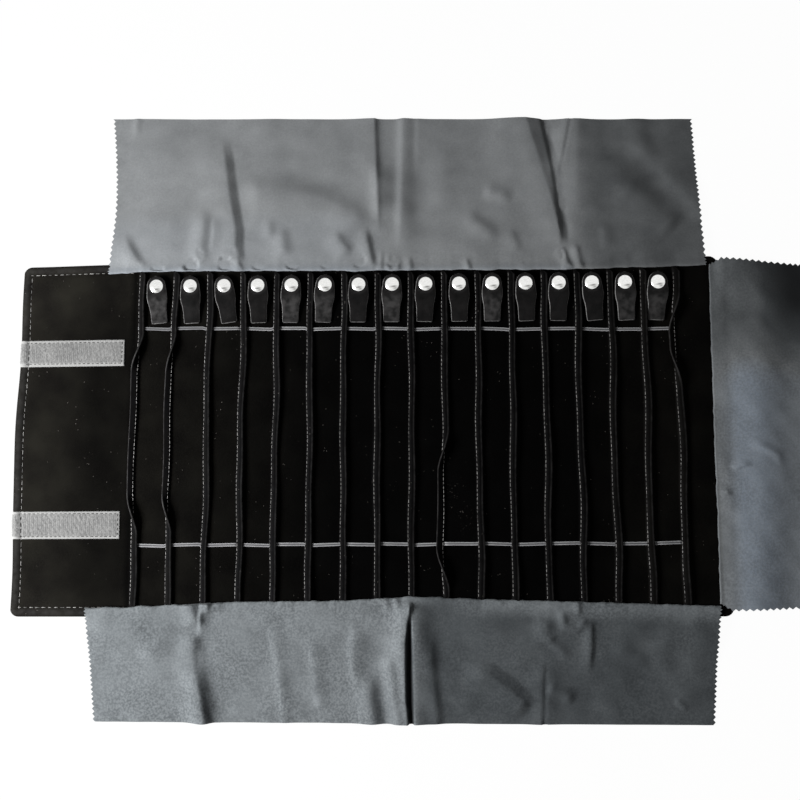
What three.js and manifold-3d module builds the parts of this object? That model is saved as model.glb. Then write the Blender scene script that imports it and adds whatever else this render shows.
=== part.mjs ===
// A jewelry roll laid open: a padded velvet sheet with lanes between sewn pleats, one snap strap per lane,
// two elastic bands threaded through the pleats, three cloth dust flaps, and a closure panel with
// hook-and-loop strips. It folds up in three sections: right onto middle, middle onto left, then the closure.
// Millimetres, +Z up. X runs along the roll, Y along the lanes, and the origin is on the table under the
// middle of the sheet.
import * as THREE from "three";
import { mergeVertices } from "three/addons/utils/BufferGeometryUtils.js";
import Module from "manifold-3d";

const wasm = await Module();
wasm.setup();

// Sheet
const SHEET_LENGTH = 520;
const SHEET_WIDTH = 260;
const CORNER_RADIUS = 6;
const COVER = 1.4; // thickness of the outer cover
const PADDING = 0.8; // thickness of the interlining
const LINING = 0.8; // thickness of the velvet lining
const RIM = 1; // wall of the cover that turns up round the edge
const FIT_GAP = 0.3; // clearance between pieces that are sewn or seated together
const FOLD_GAP = 0.4; // slit between two sections at a fold line
const FOLD_TURN = 179.99; // degrees that each fold turns, just short of a half turn
const CLOSURE_LENGTH = 84; // from the left edge to the closure panel's fold line

// Lanes, pleats and elastic bands
const LANES = 16;
const LANES_PER_SECTION = 6; // in the left and middle sections; the right one has the rest
const FIRST_PLEAT = 5.3; // from the closure panel's fold line to the first pleat's seam
const LAST_PLEAT = 33.9; // from the last pleat's seam to the right edge
const LANE_BOW = 4.3; // how far the middle pleat is sewn to the right of an even spacing
const PLEAT_REACH = 5; // how far a pleat lies over from its seam
const PLEAT_HEEL = 0.8; // how far it stands out on the other side
const PLEAT_HEIGHT = 2.4;
const PLEAT_INSET = 10.5; // from the sheet's long edges to the ends of the pleats
const LEFT_FLOPS = { 0: [-55, 62], 1: [-55, 62], 10: [-92, -13], 16: [46, 88] }; // pleats that lie left there
const FLOP_LENGTH = 20; // over which a pleat turns from one side to the other
const FLOP_STATIONS = [-0.5, -0.2, 0, 0.2, 0.5]; // shares of that length
const BAND_INSET = 51.3; // from the sheet's long edges to the middle of the bands
const BAND_SLANT = 6.6; // how much nearer the top edge the upper band starts than it ends
const BAND_WIDTH = 3;
const BAND_THICKNESS = 0.6;
const BAND_LIFT = 0.5; // clear height under a band

// Snap straps: a stud on the lining, and a strap whose cap and socket press onto it
const SNAP_INSET = 16.6; // from the sheet's top edge to the first snap's centre
const SNAP_SLANT = 3.2; // how much further from it the last one is
const SNAP_OFFSET = 1; // to the right of the middle between two seams
const STRAP_THICKNESS = 1.1;
const STRAP_HEAD_WIDTH = 15.4;
const STRAP_TAIL_WIDTH = 12;
const STRAP_HEAD_REACH = 7.8; // from the snap's centre to the round end
const STRAP_TAIL_REACH = 28; // from the snap's centre to the sewn end
const STRAP_FLAT_REACH = 7; // from the snap's centre to where the strap dips to the lining
const STUD_FLANGE_RADIUS = 4;
const STUD_FLANGE = 0.5;
const STUD_RADIUS = 1.6;
const STUD_HEIGHT = 1.9;
const STUD_NECK = 0.25; // how far the stud draws in under its bead
const SOCKET_RADIUS = 4.2;
const SOCKET_PLATE = 0.4;
const RIVET_RADIUS = 1.5;
const CAP_RADIUS = 5.3;
const CAP_HEIGHT = 1.6;
const CAP_EDGE = 0.45; // upright edge of the cap under its dome
const SNAP_SIDES = 12;
const STRAP_OPENING = 150; // degrees

// Dust flaps
const CLOTH = 0.7;
const SEAM_INSET = 8.5; // from the sheet's edge to the line where a flap is sewn on
const EDGE_OVERHANG = 1; // how far a flap runs out past the edge before it drops to the table
const DROP_LENGTH = 9;
const TOP_FLAP_LENGTH = 120.5; // from the seam to the far edge
const BOTTOM_FLAP_LENGTH = 81.5;
const END_FLAP_GAP = 8.7; // from the far edge of the shut end flap to the fold line before it
const FLAP_CORNER = 20; // how far the top and bottom flaps' free corners reach past the closure's fold line
const FLAP_RIGHT_INSET = 9; // from the sheet's right edge to the ends of those flaps
const END_FLAP_INSET = 3.5; // from the sheet's long edges to the ends of the end flap
const PINK_PITCH = 3.7; // teeth along the pinked edges
const PINK_DEPTH = 1.6;
const CREASE_HEIGHT = 2.4;
const CREASE_WIDTH = 10;
const TOP_CREASES = [-104, 14, 140]; // along the sheet, from its middle
const BOTTOM_CREASES = [-113, 28, 124];
const END_CREASES = [-30, 62];
const CLOTH_STEP = 32; // size of a facet of flat cloth along the seam
const CLOTH_ROWS = [0, 0.1, 0.2, 0.6, 1]; // shares of the way from the drop to the far edge
const DROP_ROWS = [0.3, 0.7]; // shares of the drop
const CREASE_COLUMNS = [-1.7, -0.8, 0, 0.8, 1.7]; // shares of a crease's width

// Hook-and-loop strips
const STRIP_INSET = 66; // from the sheet's long edges to the middles of both pairs
const STRIP_WIDTH = 20;
const LOOP_GAP = 5; // from the loop strips' inner ends to the closure panel's fold line
const LOOP_THICKNESS = 1.2;
const HOOK_GAP = 7; // how much shorter the hook strips are than the loop strips
const HOOK_THICKNESS = 0.8;

const ARC_SEGMENTS = 3;
const STRAP_SEGMENTS = 5;

// Places that follow from the sizes
const leftEdge = -SHEET_LENGTH / 2;
const rightEdge = SHEET_LENGTH / 2;
const halfWidth = SHEET_WIDTH / 2;
const panelTop = COVER + PADDING + LINING;
const closureTop = COVER + LINING; // the closure panel has no padding
const seamY = halfWidth - SEAM_INSET;
const seamX = rightEdge - SEAM_INSET;
const seamZ = panelTop + FIT_GAP;
const snapY = (k) => halfWidth - SNAP_INSET - (SNAP_SLANT * k) / (LANES - 1);
const bandY = halfWidth - BAND_INSET;
const bandZ = panelTop + BAND_LIFT;
const stripY = halfWidth - STRIP_INSET;
const loopLength = CLOSURE_LENGTH - LOOP_GAP;
const lanePitch = (SHEET_LENGTH - CLOSURE_LENGTH - FIRST_PLEAT - LAST_PLEAT) / LANES;
const laneBow = (k) => (4 * LANE_BOW * k * (LANES - k)) / LANES ** 2;
const pleatX = (k) => leftEdge + CLOSURE_LENGTH + FIRST_PLEAT + k * lanePitch + laneBow(k);
const laneX = (k) => (pleatX(k) + pleatX(k + 1)) / 2;
const foldX = (k) => pleatX(k) + PLEAT_REACH + FOLD_GAP; // just past the pleat that ends a section

const closureFoldX = leftEdge + CLOSURE_LENGTH;
const middleFoldX = foldX(LANES_PER_SECTION);
const rightFoldX = foldX(2 * LANES_PER_SECTION);

// Heights in the snap, from the lining up
const studTop = panelTop + STUD_HEIGHT;
const socketBottom = panelTop + STUD_FLANGE + FIT_GAP;
const cavityTop = studTop + FIT_GAP;
const strapUnder = cavityTop + SOCKET_PLATE + FIT_GAP / 2;
const strapTop = strapUnder + STRAP_THICKNESS;
const capUnder = strapTop + FIT_GAP / 2;
const capTop = capUnder + CAP_HEIGHT;
const tailUnder = panelTop + FIT_GAP;
const contentTop = Math.max(capTop, panelTop + PLEAT_HEIGHT);

// Each fold turns about a line half-way between what lies on its two sides when it is shut, so the layers
// stack up clear of each other: dust flaps on the lanes, the end flap on those, then section on section.
const between = (below, above) => (below + above + FIT_GAP) / 2;
const flapFoldZ = between(contentTop, seamZ + CLOTH);
const flapsShutTop = 2 * flapFoldZ;
const endFoldZ = between(flapsShutTop, seamZ + CLOTH);
const endShutTop = 2 * endFoldZ;
const rightFoldZ = between(flapsShutTop, endShutTop);
const middleFoldZ = between(flapsShutTop, 2 * rightFoldZ);
const closureFoldZ = between(2 * middleFoldZ, closureTop + LOOP_THICKNESS);

const materials = {
  cover: new THREE.MeshStandardMaterial({ color: 0x151515, roughness: 0.75 }),
  padding: new THREE.MeshStandardMaterial({ color: 0x8a8a86, roughness: 0.95 }),
  velvet: new THREE.MeshStandardMaterial({ color: 0x0c0b0b, roughness: 0.95 }),
  cloth: new THREE.MeshStandardMaterial({ color: 0x5d6063, roughness: 0.9 }),
  elastic: new THREE.MeshStandardMaterial({ color: 0x8c8c88, roughness: 0.8 }),
  leather: new THREE.MeshStandardMaterial({ color: 0x1c1c1c, roughness: 0.45 }),
  metal: new THREE.MeshStandardMaterial({ color: 0xe6e6e2, roughness: 0.15, metalness: 1 }),
  strip: new THREE.MeshStandardMaterial({ color: 0x9a9a9a, roughness: 0.95 }),
};

// Solids: three.js geometry in and out of manifold-3d, which joins and cuts
function solid(geometry) {
  const bare = geometry.clone();
  bare.deleteAttribute("normal");
  bare.deleteAttribute("uv");
  const merged = mergeVertices(bare, 1e-4);
  const triVerts = new Uint32Array(merged.index.array);
  const vertProperties = merged.attributes.position.array;
  return new wasm.Manifold(new wasm.Mesh({ numProp: 3, vertProperties, triVerts }));
}

function geometryOf(manifold) {
  const mesh = manifold.getMesh();
  const geometry = new THREE.BufferGeometry();
  geometry.setAttribute("position", new THREE.BufferAttribute(mesh.vertProperties, 3));
  geometry.setIndex(new THREE.BufferAttribute(mesh.triVerts, 1));
  geometry.computeVertexNormals();
  return geometry;
}

const join = (solids) => solids.reduce((whole, one) => whole.add(one));
const cut = (whole, cutters) => cutters.reduce((rest, one) => rest.subtract(one), whole);

function prism(shape, bottom, top, curveSegments = ARC_SEGMENTS) {
  const settings = { depth: top - bottom, bevelEnabled: false, curveSegments };
  return new THREE.ExtrudeGeometry(shape, settings).translate(0, 0, bottom);
}

function block(x0, x1, y0, y1, z0, z1) {
  const box = new THREE.BoxGeometry(x1 - x0, y1 - y0, z1 - z0);
  return box.translate((x0 + x1) / 2, (y0 + y1) / 2, (z0 + z1) / 2);
}

// A closed solid of constant height over a grid of (u, v), lying on lowerAt(u, v)
function sheetSolid(us, vs, lowerAt, height) {
  const across = us.length;
  const count = across * vs.length;
  const positions = [];
  for (const lift of [0, height]) {
    for (const v of vs) us.forEach((u) => positions.push(u, v, lowerAt(u, v) + lift));
  }
  const low = (i, j) => j * across + i;
  const high = (i, j) => count + j * across + i;
  const index = [];
  const quad = (a, b, c, d) => index.push(a, b, c, a, c, d);
  const lastI = across - 1;
  const lastJ = vs.length - 1;
  for (let j = 0; j < lastJ; j++) {
    for (let i = 0; i < lastI; i++) {
      quad(high(i, j), high(i + 1, j), high(i + 1, j + 1), high(i, j + 1));
      quad(low(i, j), low(i, j + 1), low(i + 1, j + 1), low(i + 1, j));
    }
    quad(low(0, j + 1), low(0, j), high(0, j), high(0, j + 1));
    quad(low(lastI, j), low(lastI, j + 1), high(lastI, j + 1), high(lastI, j));
  }
  for (let i = 0; i < lastI; i++) {
    quad(low(i, 0), low(i + 1, 0), high(i + 1, 0), high(i, 0));
    quad(low(i + 1, lastJ), low(i, lastJ), high(i, lastJ), high(i + 1, lastJ));
  }
  const geometry = new THREE.BufferGeometry();
  geometry.setAttribute("position", new THREE.Float32BufferAttribute(positions, 3));
  return geometry.setIndex(index);
}

// A closed solid through rings of points that step along +Y and run counter-clockwise seen along +Y
function loft(rings) {
  const sides = rings[0].length;
  const index = [];
  const at = (s, p) => s * sides + (p % sides);
  for (let s = 0; s + 1 < rings.length; s++) {
    for (let p = 0; p < sides; p++) {
      index.push(at(s, p), at(s + 1, p), at(s + 1, p + 1));
      index.push(at(s, p), at(s + 1, p + 1), at(s, p + 1));
    }
  }
  const last = rings.length - 1;
  for (let p = 1; p + 1 < sides; p++) {
    index.push(at(0, 0), at(0, p), at(0, p + 1));
    index.push(at(last, 0), at(last, p + 1), at(last, p));
  }
  const geometry = new THREE.BufferGeometry();
  geometry.setAttribute("position", new THREE.Float32BufferAttribute(rings.flat(2), 3));
  return geometry.setIndex(index);
}

const roll = new THREE.Group();

function place(name, geometry, material, parent = roll) {
  const mesh = new THREE.Mesh(geometry, material);
  mesh.name = name;
  parent.add(mesh);
  return mesh;
}

// The sheet is made in panels that meet at the fold lines. A panel is closed by the cover's rim on the
// sheet's own edges and open at a fold line.
const panels = {
  closure: { from: leftEdge, to: closureFoldX - FOLD_GAP / 2, top: closureTop, closedLeft: true },
  left: { from: closureFoldX + FOLD_GAP / 2, to: middleFoldX - FOLD_GAP / 2, top: panelTop },
  middle: { from: middleFoldX + FOLD_GAP / 2, to: rightFoldX - FOLD_GAP / 2, top: panelTop },
  right: { from: rightFoldX + FOLD_GAP / 2, to: rightEdge, top: panelTop, closedRight: true },
};
const sections = [
  { name: "left", firstPleat: 0, lastPleat: LANES_PER_SECTION },
  { name: "middle", firstPleat: LANES_PER_SECTION + 1, lastPleat: 2 * LANES_PER_SECTION },
  { name: "right", firstPleat: 2 * LANES_PER_SECTION + 1, lastPleat: LANES },
];

// A panel's outline, drawn in from the sheet's edges by inset and past the fold lines by beyond
function panelShape(panel, inset, beyond = 0) {
  const x0 = panel.closedLeft ? panel.from + inset : panel.from - beyond;
  const x1 = panel.closedRight ? panel.to - inset : panel.to + beyond;
  const y = halfWidth - inset;
  const r = Math.max(CORNER_RADIUS - inset, RIM);
  const shape = new THREE.Shape();
  shape.moveTo(panel.closedLeft ? x0 + r : x0, -y);
  if (panel.closedRight) {
    shape.lineTo(x1 - r, -y);
    shape.absarc(x1 - r, r - y, r, -Math.PI / 2, 0);
    shape.absarc(x1 - r, y - r, r, 0, Math.PI / 2);
  } else {
    shape.lineTo(x1, -y);
    shape.lineTo(x1, y);
  }
  if (panel.closedLeft) {
    shape.absarc(x0 + r, y - r, r, Math.PI / 2, Math.PI);
    shape.absarc(x0 + r, r - y, r, Math.PI, 1.5 * Math.PI);
  } else {
    shape.lineTo(x0, y);
  }
  shape.closePath();
  return shape;
}

const layer = (panel, bottom, top) => solid(prism(panelShape(panel, RIM + FIT_GAP), bottom, top));

// The cover is a shallow tray whose rim stands round the layers that it holds
function coverSolid(panel) {
  const hollow = prism(panelShape(panel, RIM, RIM), COVER, panel.top + RIM);
  return cut(solid(prism(panelShape(panel, 0), 0, panel.top)), [solid(hollow)]);
}

// Which way a pleat lies at y: 1 is right, -1 is left, and it stands up on its way between them
function pleatFlop(k, y) {
  const [from, to] = LEFT_FLOPS[k] ?? [0, 0];
  const turn = (at) => THREE.MathUtils.smoothstep(y, at - FLOP_LENGTH / 2, at + FLOP_LENGTH / 2);
  return 1 - 2 * (turn(from) - turn(to));
}

// A pleat of the lining: a fold of velvet that lies over to one side of its seam
function pleatSolid(k) {
  const end = halfWidth - PLEAT_INSET;
  const turns = (LEFT_FLOPS[k] ?? []).flatMap((at) => FLOP_STATIONS.map((share) => at + share * FLOP_LENGTH));
  const rings = [-end, ...turns, end].map((y) => {
    const flop = pleatFlop(k, y);
    const upright = 1 - Math.abs(flop);
    const narrow = 1 - 0.4 * upright;
    const height = PLEAT_HEIGHT * (1 + 0.4 * upright);
    const side = (way) => narrow * (PLEAT_HEEL + ((PLEAT_REACH - PLEAT_HEEL) * (1 + way * flop)) / 2);
    const right = side(1);
    const left = -side(-1);
    const point = (across, up) => [pleatX(k) + across, y, panelTop + up];
    return [
      point(0.9 * left, -LINING / 2),
      point(0.9 * right, -LINING / 2),
      point(right, 0.35 * height),
      point(0.8 * right, 0.8 * height),
      point(0.35 * (left + right), height),
      point(0.8 * left, 0.8 * height),
      point(left, 0.35 * height),
    ];
  });
  return solid(loft(rings));
}

// A length of an elastic band; the upper band runs a little aslant
function bandBlock(side, from, to, gap) {
  const slope = side > 0 ? BAND_SLANT / (pleatX(LANES) - pleatX(0)) : 0;
  const middle = (pleatX(0) + pleatX(LANES)) / 2;
  const y = (x) => side * bandY - slope * (x - middle);
  const reach = BAND_WIDTH / 2 + gap;
  const shape = new THREE.Shape();
  shape.moveTo(from, y(from) - reach);
  shape.lineTo(to, y(to) - reach);
  shape.lineTo(to, y(to) + reach);
  shape.lineTo(from, y(from) + reach);
  shape.closePath();
  return prism(shape, bandZ - gap, bandZ + BAND_THICKNESS + gap);
}

function turned(profile) {
  const points = profile.map(([r, z]) => new THREE.Vector2(r, z));
  return new THREE.LatheGeometry(points, SNAP_SIDES).rotateX(Math.PI / 2);
}

const snapCentre = (k) => [laneX(k) + SNAP_OFFSET, snapY(k)];

// The stud's flange is riveted through the lining, and its bead stands up into the socket
function studSolid(k) {
  const profile = [
    [0, panelTop - LINING / 2],
    [STUD_FLANGE_RADIUS, panelTop - LINING / 2],
    [STUD_FLANGE_RADIUS, panelTop + STUD_FLANGE],
    [STUD_RADIUS - STUD_NECK, panelTop + STUD_FLANGE],
    [STUD_RADIUS, studTop - STUD_RADIUS / 2],
    [STUD_RADIUS - STUD_NECK, studTop],
    [0, studTop],
  ];
  return solid(turned(profile).translate(...snapCentre(k), 0));
}

// The lining of a section is one cloth with its pleats. Its studs are fixed to it, and the elastic bands'
// tunnels go through the pleats.
function liningSolid(section) {
  const panel = panels[section.name];
  const pieces = [layer(panel, COVER + PADDING, panelTop)];
  for (let k = section.firstPleat; k <= section.lastPleat; k++) pieces.push(pleatSolid(k));
  for (const k of section.lanes) pieces.push(studSolid(k));
  const tunnels = [1, -1].map((side) => solid(bandBlock(side, panel.from, panel.to, FIT_GAP)));
  return cut(join(pieces), tunnels);
}

// A strap's outline in plan, about the snap's centre: round head, tapering to the sewn tail
function strapShape() {
  const room = lanePitch / 2 - PLEAT_HEEL - SNAP_OFFSET - FIT_GAP;
  const headRadius = Math.min(STRAP_HEAD_WIDTH / 2, room);
  const shape = new THREE.Shape();
  shape.moveTo(-STRAP_TAIL_WIDTH / 2, -STRAP_TAIL_REACH);
  shape.lineTo(STRAP_TAIL_WIDTH / 2, -STRAP_TAIL_REACH);
  shape.absarc(0, STRAP_HEAD_REACH - headRadius, headRadius, 0, Math.PI);
  shape.closePath();
  return shape;
}

// The strap lies flat under the cap and dips to the lining where it is sewn on. It is the plan outline cut
// out of a bent strip, with a hole for the cap's rivet.
function strapGeometry() {
  const side = STRAP_HEAD_WIDTH;
  const ys = [-STRAP_TAIL_REACH, -STRAP_FLAT_REACH, STRAP_HEAD_REACH];
  const under = (_, y) => (y > -STRAP_TAIL_REACH ? strapUnder : tailUnder);
  const strip = solid(sheetSolid([-side, side], ys, under, STRAP_THICKNESS));
  const outline = solid(prism(strapShape(), 0, capTop, STRAP_SEGMENTS));
  const hole = new THREE.CylinderGeometry(1, 1, capTop, SNAP_SIDES).rotateX(Math.PI / 2);
  const holeRadius = RIVET_RADIUS + FIT_GAP;
  hole.scale(holeRadius, holeRadius, 1).translate(0, 0, capTop / 2);
  return geometryOf(strip.intersect(outline).subtract(solid(hole)));
}

// Cap, rivet and socket are one turned piece that grips the strap and presses over the stud
function capGeometry() {
  const shoulder = capUnder + CAP_EDGE;
  const dome = [1, 0.7, 0.35, 0].map((share) => {
    const angle = (share * Math.PI) / 2;
    return [CAP_RADIUS * Math.sin(angle), shoulder + (capTop - shoulder) * Math.cos(angle)];
  });
  return turned([
    [0, cavityTop],
    [STUD_RADIUS + FIT_GAP, cavityTop],
    [STUD_RADIUS + FIT_GAP, socketBottom],
    [SOCKET_RADIUS, socketBottom],
    [SOCKET_RADIUS, cavityTop + SOCKET_PLATE],
    [RIVET_RADIUS, cavityTop + SOCKET_PLATE],
    [RIVET_RADIUS, capUnder],
    [CAP_RADIUS, capUnder],
    ...dome,
  ]);
}

// A dust flap in its own frame: u along the seam, v away from it. It lies over the sheet's edge, drops to
// the table and runs out flat with a few soft creases.
function flapHeight(creases) {
  const dropFrom = SEAM_INSET + EDGE_OVERHANG;
  const dropTo = dropFrom + DROP_LENGTH;
  return (u, v) => {
    const fall = THREE.MathUtils.smoothstep(v, dropFrom, dropTo);
    const clear = THREE.MathUtils.smoothstep(v, dropTo, dropTo + 2 * DROP_LENGTH);
    const ridges = creases.map((at) => Math.exp(-(((u - at) / CREASE_WIDTH) ** 2)));
    const lift = CREASE_HEIGHT * clear * Math.min(1, Math.max(0, ...ridges));
    return seamZ * (1 - fall) + lift;
  };
}

// Cuts a row of pointed teeth into the end of a flap at u, which faces the way that side points
function pinkingCutter(u, side, length) {
  const shape = new THREE.Shape();
  shape.moveTo(u + side * PINK_DEPTH, -PINK_PITCH);
  const teeth = Math.ceil(length / PINK_PITCH) + 1;
  for (let n = -1; n <= teeth; n++) {
    shape.lineTo(u, n * PINK_PITCH);
    shape.lineTo(u - side * PINK_DEPTH, (n + 0.5) * PINK_PITCH);
  }
  shape.lineTo(u, (teeth + 1) * PINK_PITCH);
  shape.lineTo(u + side * PINK_DEPTH, (teeth + 1) * PINK_PITCH);
  shape.closePath();
  return solid(prism(shape, -CLOTH, seamZ + CREASE_HEIGHT + 2 * CLOTH));
}

// Where the cloth's facets divide along the seam: closely over a crease and widely between creases
function clothColumns(from, to, creases) {
  const close = creases.flatMap((at) => CREASE_COLUMNS.map((share) => at + share * CREASE_WIDTH));
  const inside = close.filter((u) => u > from + CREASE_WIDTH / 2 && u < to - CREASE_WIDTH / 2);
  const us = [from];
  for (const next of [...inside.sort((a, b) => a - b), to]) {
    const start = us[us.length - 1];
    const parts = Math.max(1, Math.round((next - start) / CLOTH_STEP));
    for (let i = 1; i <= parts; i++) us.push(start + ((next - start) * i) / parts);
  }
  return us;
}

function flapGeometry({ from, to, length, creases, pinkFrom, pinkTo, sewnFrom, sewnTo }) {
  const us = clothColumns(from, to, creases);
  const dropFrom = SEAM_INSET + EDGE_OVERHANG;
  const dropTo = dropFrom + DROP_LENGTH;
  const vs = [
    0,
    dropFrom,
    ...DROP_ROWS.map((share) => dropFrom + share * DROP_LENGTH),
    ...CLOTH_ROWS.map((share) => dropTo + share * (length - dropTo)),
  ];
  const cutters = [];
  if (pinkFrom) cutters.push(pinkingCutter(from, -1, length));
  if (pinkTo) cutters.push(pinkingCutter(to, 1, length));
  const unsewn = (u0, u1) => solid(block(u0, u1, -CLOTH, dropFrom, 0, seamZ + 2 * CLOTH));
  if (sewnFrom > from) cutters.push(unsewn(from - CLOTH, sewnFrom));
  if (sewnTo < to) cutters.push(unsewn(sewnTo, to + CLOTH));
  return geometryOf(cut(solid(sheetSolid(us, vs, flapHeight(creases), CLOTH)), cutters));
}

// Closure panel: cover, lining and the two loop strips
place("closure_cover", geometryOf(coverSolid(panels.closure)), materials.cover);
place("closure_lining", geometryOf(layer(panels.closure, COVER, closureTop)), materials.velvet);
for (const [name, side] of [["upper", 1], ["lower", -1]]) {
  const y = side * stripY;
  const reach = STRIP_WIDTH / 2;
  const stripTop = closureTop + LOOP_THICKNESS;
  const strip = block(leftEdge, leftEdge + loopLength, y - reach, y + reach, closureTop, stripTop);
  place(`loop_strip_${name}`, strip, materials.strip);
}

// Hook strips bed into the underside of the middle section, where the closed panel comes down
const hookTo = panels.middle.to - FIT_GAP - RIM;
const hookFrom = hookTo - (loopLength - HOOK_GAP);
function hookBlock(side, gap) {
  const y = side * stripY;
  const reach = STRIP_WIDTH / 2 + gap;
  const bottom = gap ? -RIM : 0;
  return block(hookFrom - gap, hookTo + gap, y - reach, y + reach, bottom, HOOK_THICKNESS + gap / 2);
}
for (const [name, side] of [["upper", 1], ["lower", -1]]) {
  place(`hook_strip_${name}`, hookBlock(side, 0), materials.strip);
}

// The three sections of the sheet, each with its layers and elastic bands
for (const section of sections) {
  const panel = panels[section.name];
  section.lanes = Array.from({ length: LANES }, (_, k) => k).filter((k) => {
    const x = laneX(k);
    return x > panel.from && x < panel.to;
  });
  const pockets = section.name === "middle" ? [1, -1].map((side) => solid(hookBlock(side, FIT_GAP))) : [];
  place(`${section.name}_cover`, geometryOf(cut(coverSolid(panel), pockets)), materials.cover);
  place(`${section.name}_padding`, geometryOf(layer(panel, COVER, COVER + PADDING)), materials.padding);
  place(`${section.name}_lining`, geometryOf(liningSolid(section)), materials.velvet);
  const bandFrom = Math.max(panel.from, pleatX(0) - PLEAT_HEEL);
  const bandTo = Math.min(panel.to, pleatX(LANES) + PLEAT_REACH);
  for (const [name, side] of [["upper", 1], ["lower", -1]]) {
    place(`${section.name}_elastic_${name}`, bandBlock(side, bandFrom, bandTo, 0), materials.elastic);
  }
}

// One strap with its cap in the head of each lane
for (let k = 0; k < LANES; k++) {
  const number = String(k + 1).padStart(2, "0");
  const station = new THREE.Group();
  station.position.set(...snapCentre(k), 0);
  place(`snap_strap_${number}`, strapGeometry(), materials.leather, station);
  place(`snap_cap_${number}`, capGeometry(), materials.metal, station);
  roll.add(station);
}

// The top and bottom flaps are slit at the fold lines, and start short of the closure panel's fold
const flapLeft = closureFoldX - FLAP_CORNER;
const flapRight = rightEdge - FLAP_RIGHT_INSET;
for (const section of sections) {
  const panel = panels[section.name];
  const first = section.name === "left";
  const last = section.name === "right";
  const from = first ? flapLeft : panel.from;
  const to = last ? flapRight : panel.to;
  const sewnFrom = panel.from;
  const top = { from, to, length: TOP_FLAP_LENGTH, creases: TOP_CREASES, sewnFrom, sewnTo: to };
  const topFlap = flapGeometry({ ...top, pinkFrom: first, pinkTo: last });
  place(`${section.name}_top_flap`, topFlap, materials.cloth).position.set(0, seamY, 0);

  // seen from its own seam the bottom flap runs the other way along the sheet
  const bottomFlap = flapGeometry({
    from: -to,
    to: -from,
    length: BOTTOM_FLAP_LENGTH,
    creases: BOTTOM_CREASES.map((x) => -x),
    pinkFrom: last,
    pinkTo: first,
    sewnFrom: -to,
    sewnTo: -sewnFrom,
  });
  const bottom = place(`${section.name}_bottom_flap`, bottomFlap, materials.cloth);
  bottom.position.set(0, -seamY, 0);
  bottom.rotation.z = Math.PI;
}

const endReach = halfWidth - END_FLAP_INSET;
const endFlap = flapGeometry({
  from: -endReach,
  to: endReach,
  length: seamX - rightFoldX - END_FLAP_GAP,
  creases: END_CREASES,
  pinkFrom: true,
  pinkTo: true,
  sewnFrom: -endReach,
  sewnTo: endReach,
});
const end = place("end_flap", endFlap, materials.cloth);
end.position.set(seamX, 0, 0);
end.rotation.z = -Math.PI / 2;

// Fold lines: a point on each, the direction that opening turns about, and the range in degrees
const snapHinge = (k) => {
  const [x, y] = snapCentre(k);
  const z = tailUnder + STRAP_THICKNESS / 2;
  return { point: [x, y - STRAP_TAIL_REACH, z], axis: [1, 0, 0], range: [0, STRAP_OPENING] };
};
roll.userData.hinges = {
  closure_fold: { point: [closureFoldX, 0, closureFoldZ], axis: [0, -1, 0], range: [-FOLD_TURN, 0] },
  middle_fold: { point: [middleFoldX, 0, middleFoldZ], axis: [0, 1, 0], range: [-FOLD_TURN, 0] },
  right_fold: { point: [rightFoldX, 0, rightFoldZ], axis: [0, 1, 0], range: [-FOLD_TURN, 0] },
  top_flap_fold: { point: [0, seamY, flapFoldZ], axis: [-1, 0, 0], range: [-FOLD_TURN, 0] },
  bottom_flap_fold: { point: [0, -seamY, flapFoldZ], axis: [1, 0, 0], range: [-FOLD_TURN, 0] },
  end_flap_fold: { point: [seamX, 0, endFoldZ], axis: [0, 1, 0], range: [-FOLD_TURN, 0] },
  snaps: Array.from({ length: LANES }, (_, k) => snapHinge(k)),
};

export default roll;
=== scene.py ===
"""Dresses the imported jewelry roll: velvet, leather tabs with snaps, elastics, tapes and dust cloths."""

import math

import bpy
import numpy as np
from mathutils import Matrix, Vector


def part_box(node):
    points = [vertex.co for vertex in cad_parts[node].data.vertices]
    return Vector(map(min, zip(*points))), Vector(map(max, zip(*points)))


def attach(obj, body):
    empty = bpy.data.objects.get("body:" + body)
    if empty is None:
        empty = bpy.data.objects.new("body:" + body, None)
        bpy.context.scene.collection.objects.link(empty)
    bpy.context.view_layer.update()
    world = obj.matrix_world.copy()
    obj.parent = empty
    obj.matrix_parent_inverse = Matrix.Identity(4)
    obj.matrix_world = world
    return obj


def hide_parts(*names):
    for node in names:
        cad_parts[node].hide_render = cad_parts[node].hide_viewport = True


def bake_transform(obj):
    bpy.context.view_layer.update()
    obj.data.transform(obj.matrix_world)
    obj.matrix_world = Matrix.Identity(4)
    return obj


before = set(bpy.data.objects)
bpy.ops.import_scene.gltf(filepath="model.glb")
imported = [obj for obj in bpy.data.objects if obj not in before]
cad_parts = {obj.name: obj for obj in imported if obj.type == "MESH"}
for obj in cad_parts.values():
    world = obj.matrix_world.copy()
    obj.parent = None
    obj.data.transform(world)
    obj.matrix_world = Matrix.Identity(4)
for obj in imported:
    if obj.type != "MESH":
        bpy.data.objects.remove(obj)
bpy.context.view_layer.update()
scene = bpy.context.scene

# Lengths are in millimetres, as in the part's source, until a mesh is made
MM = 0.001
HALF_LENGTH = 260.0
HALF_WIDTH = 130.0
CORNER = 6.0
CLOSURE_TOP = 2.2
PANEL_TOP = 3.0
COVER_UNDER = 0.8
RIM_Z = 1.0
SECTIONS = ("left", "middle", "right")
UP = (0, 0, 1)
# The corners of a square of half-width 1, in turn
SQUARE = ((-1, -1), (1, -1), (1, 1), (-1, 1))

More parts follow.
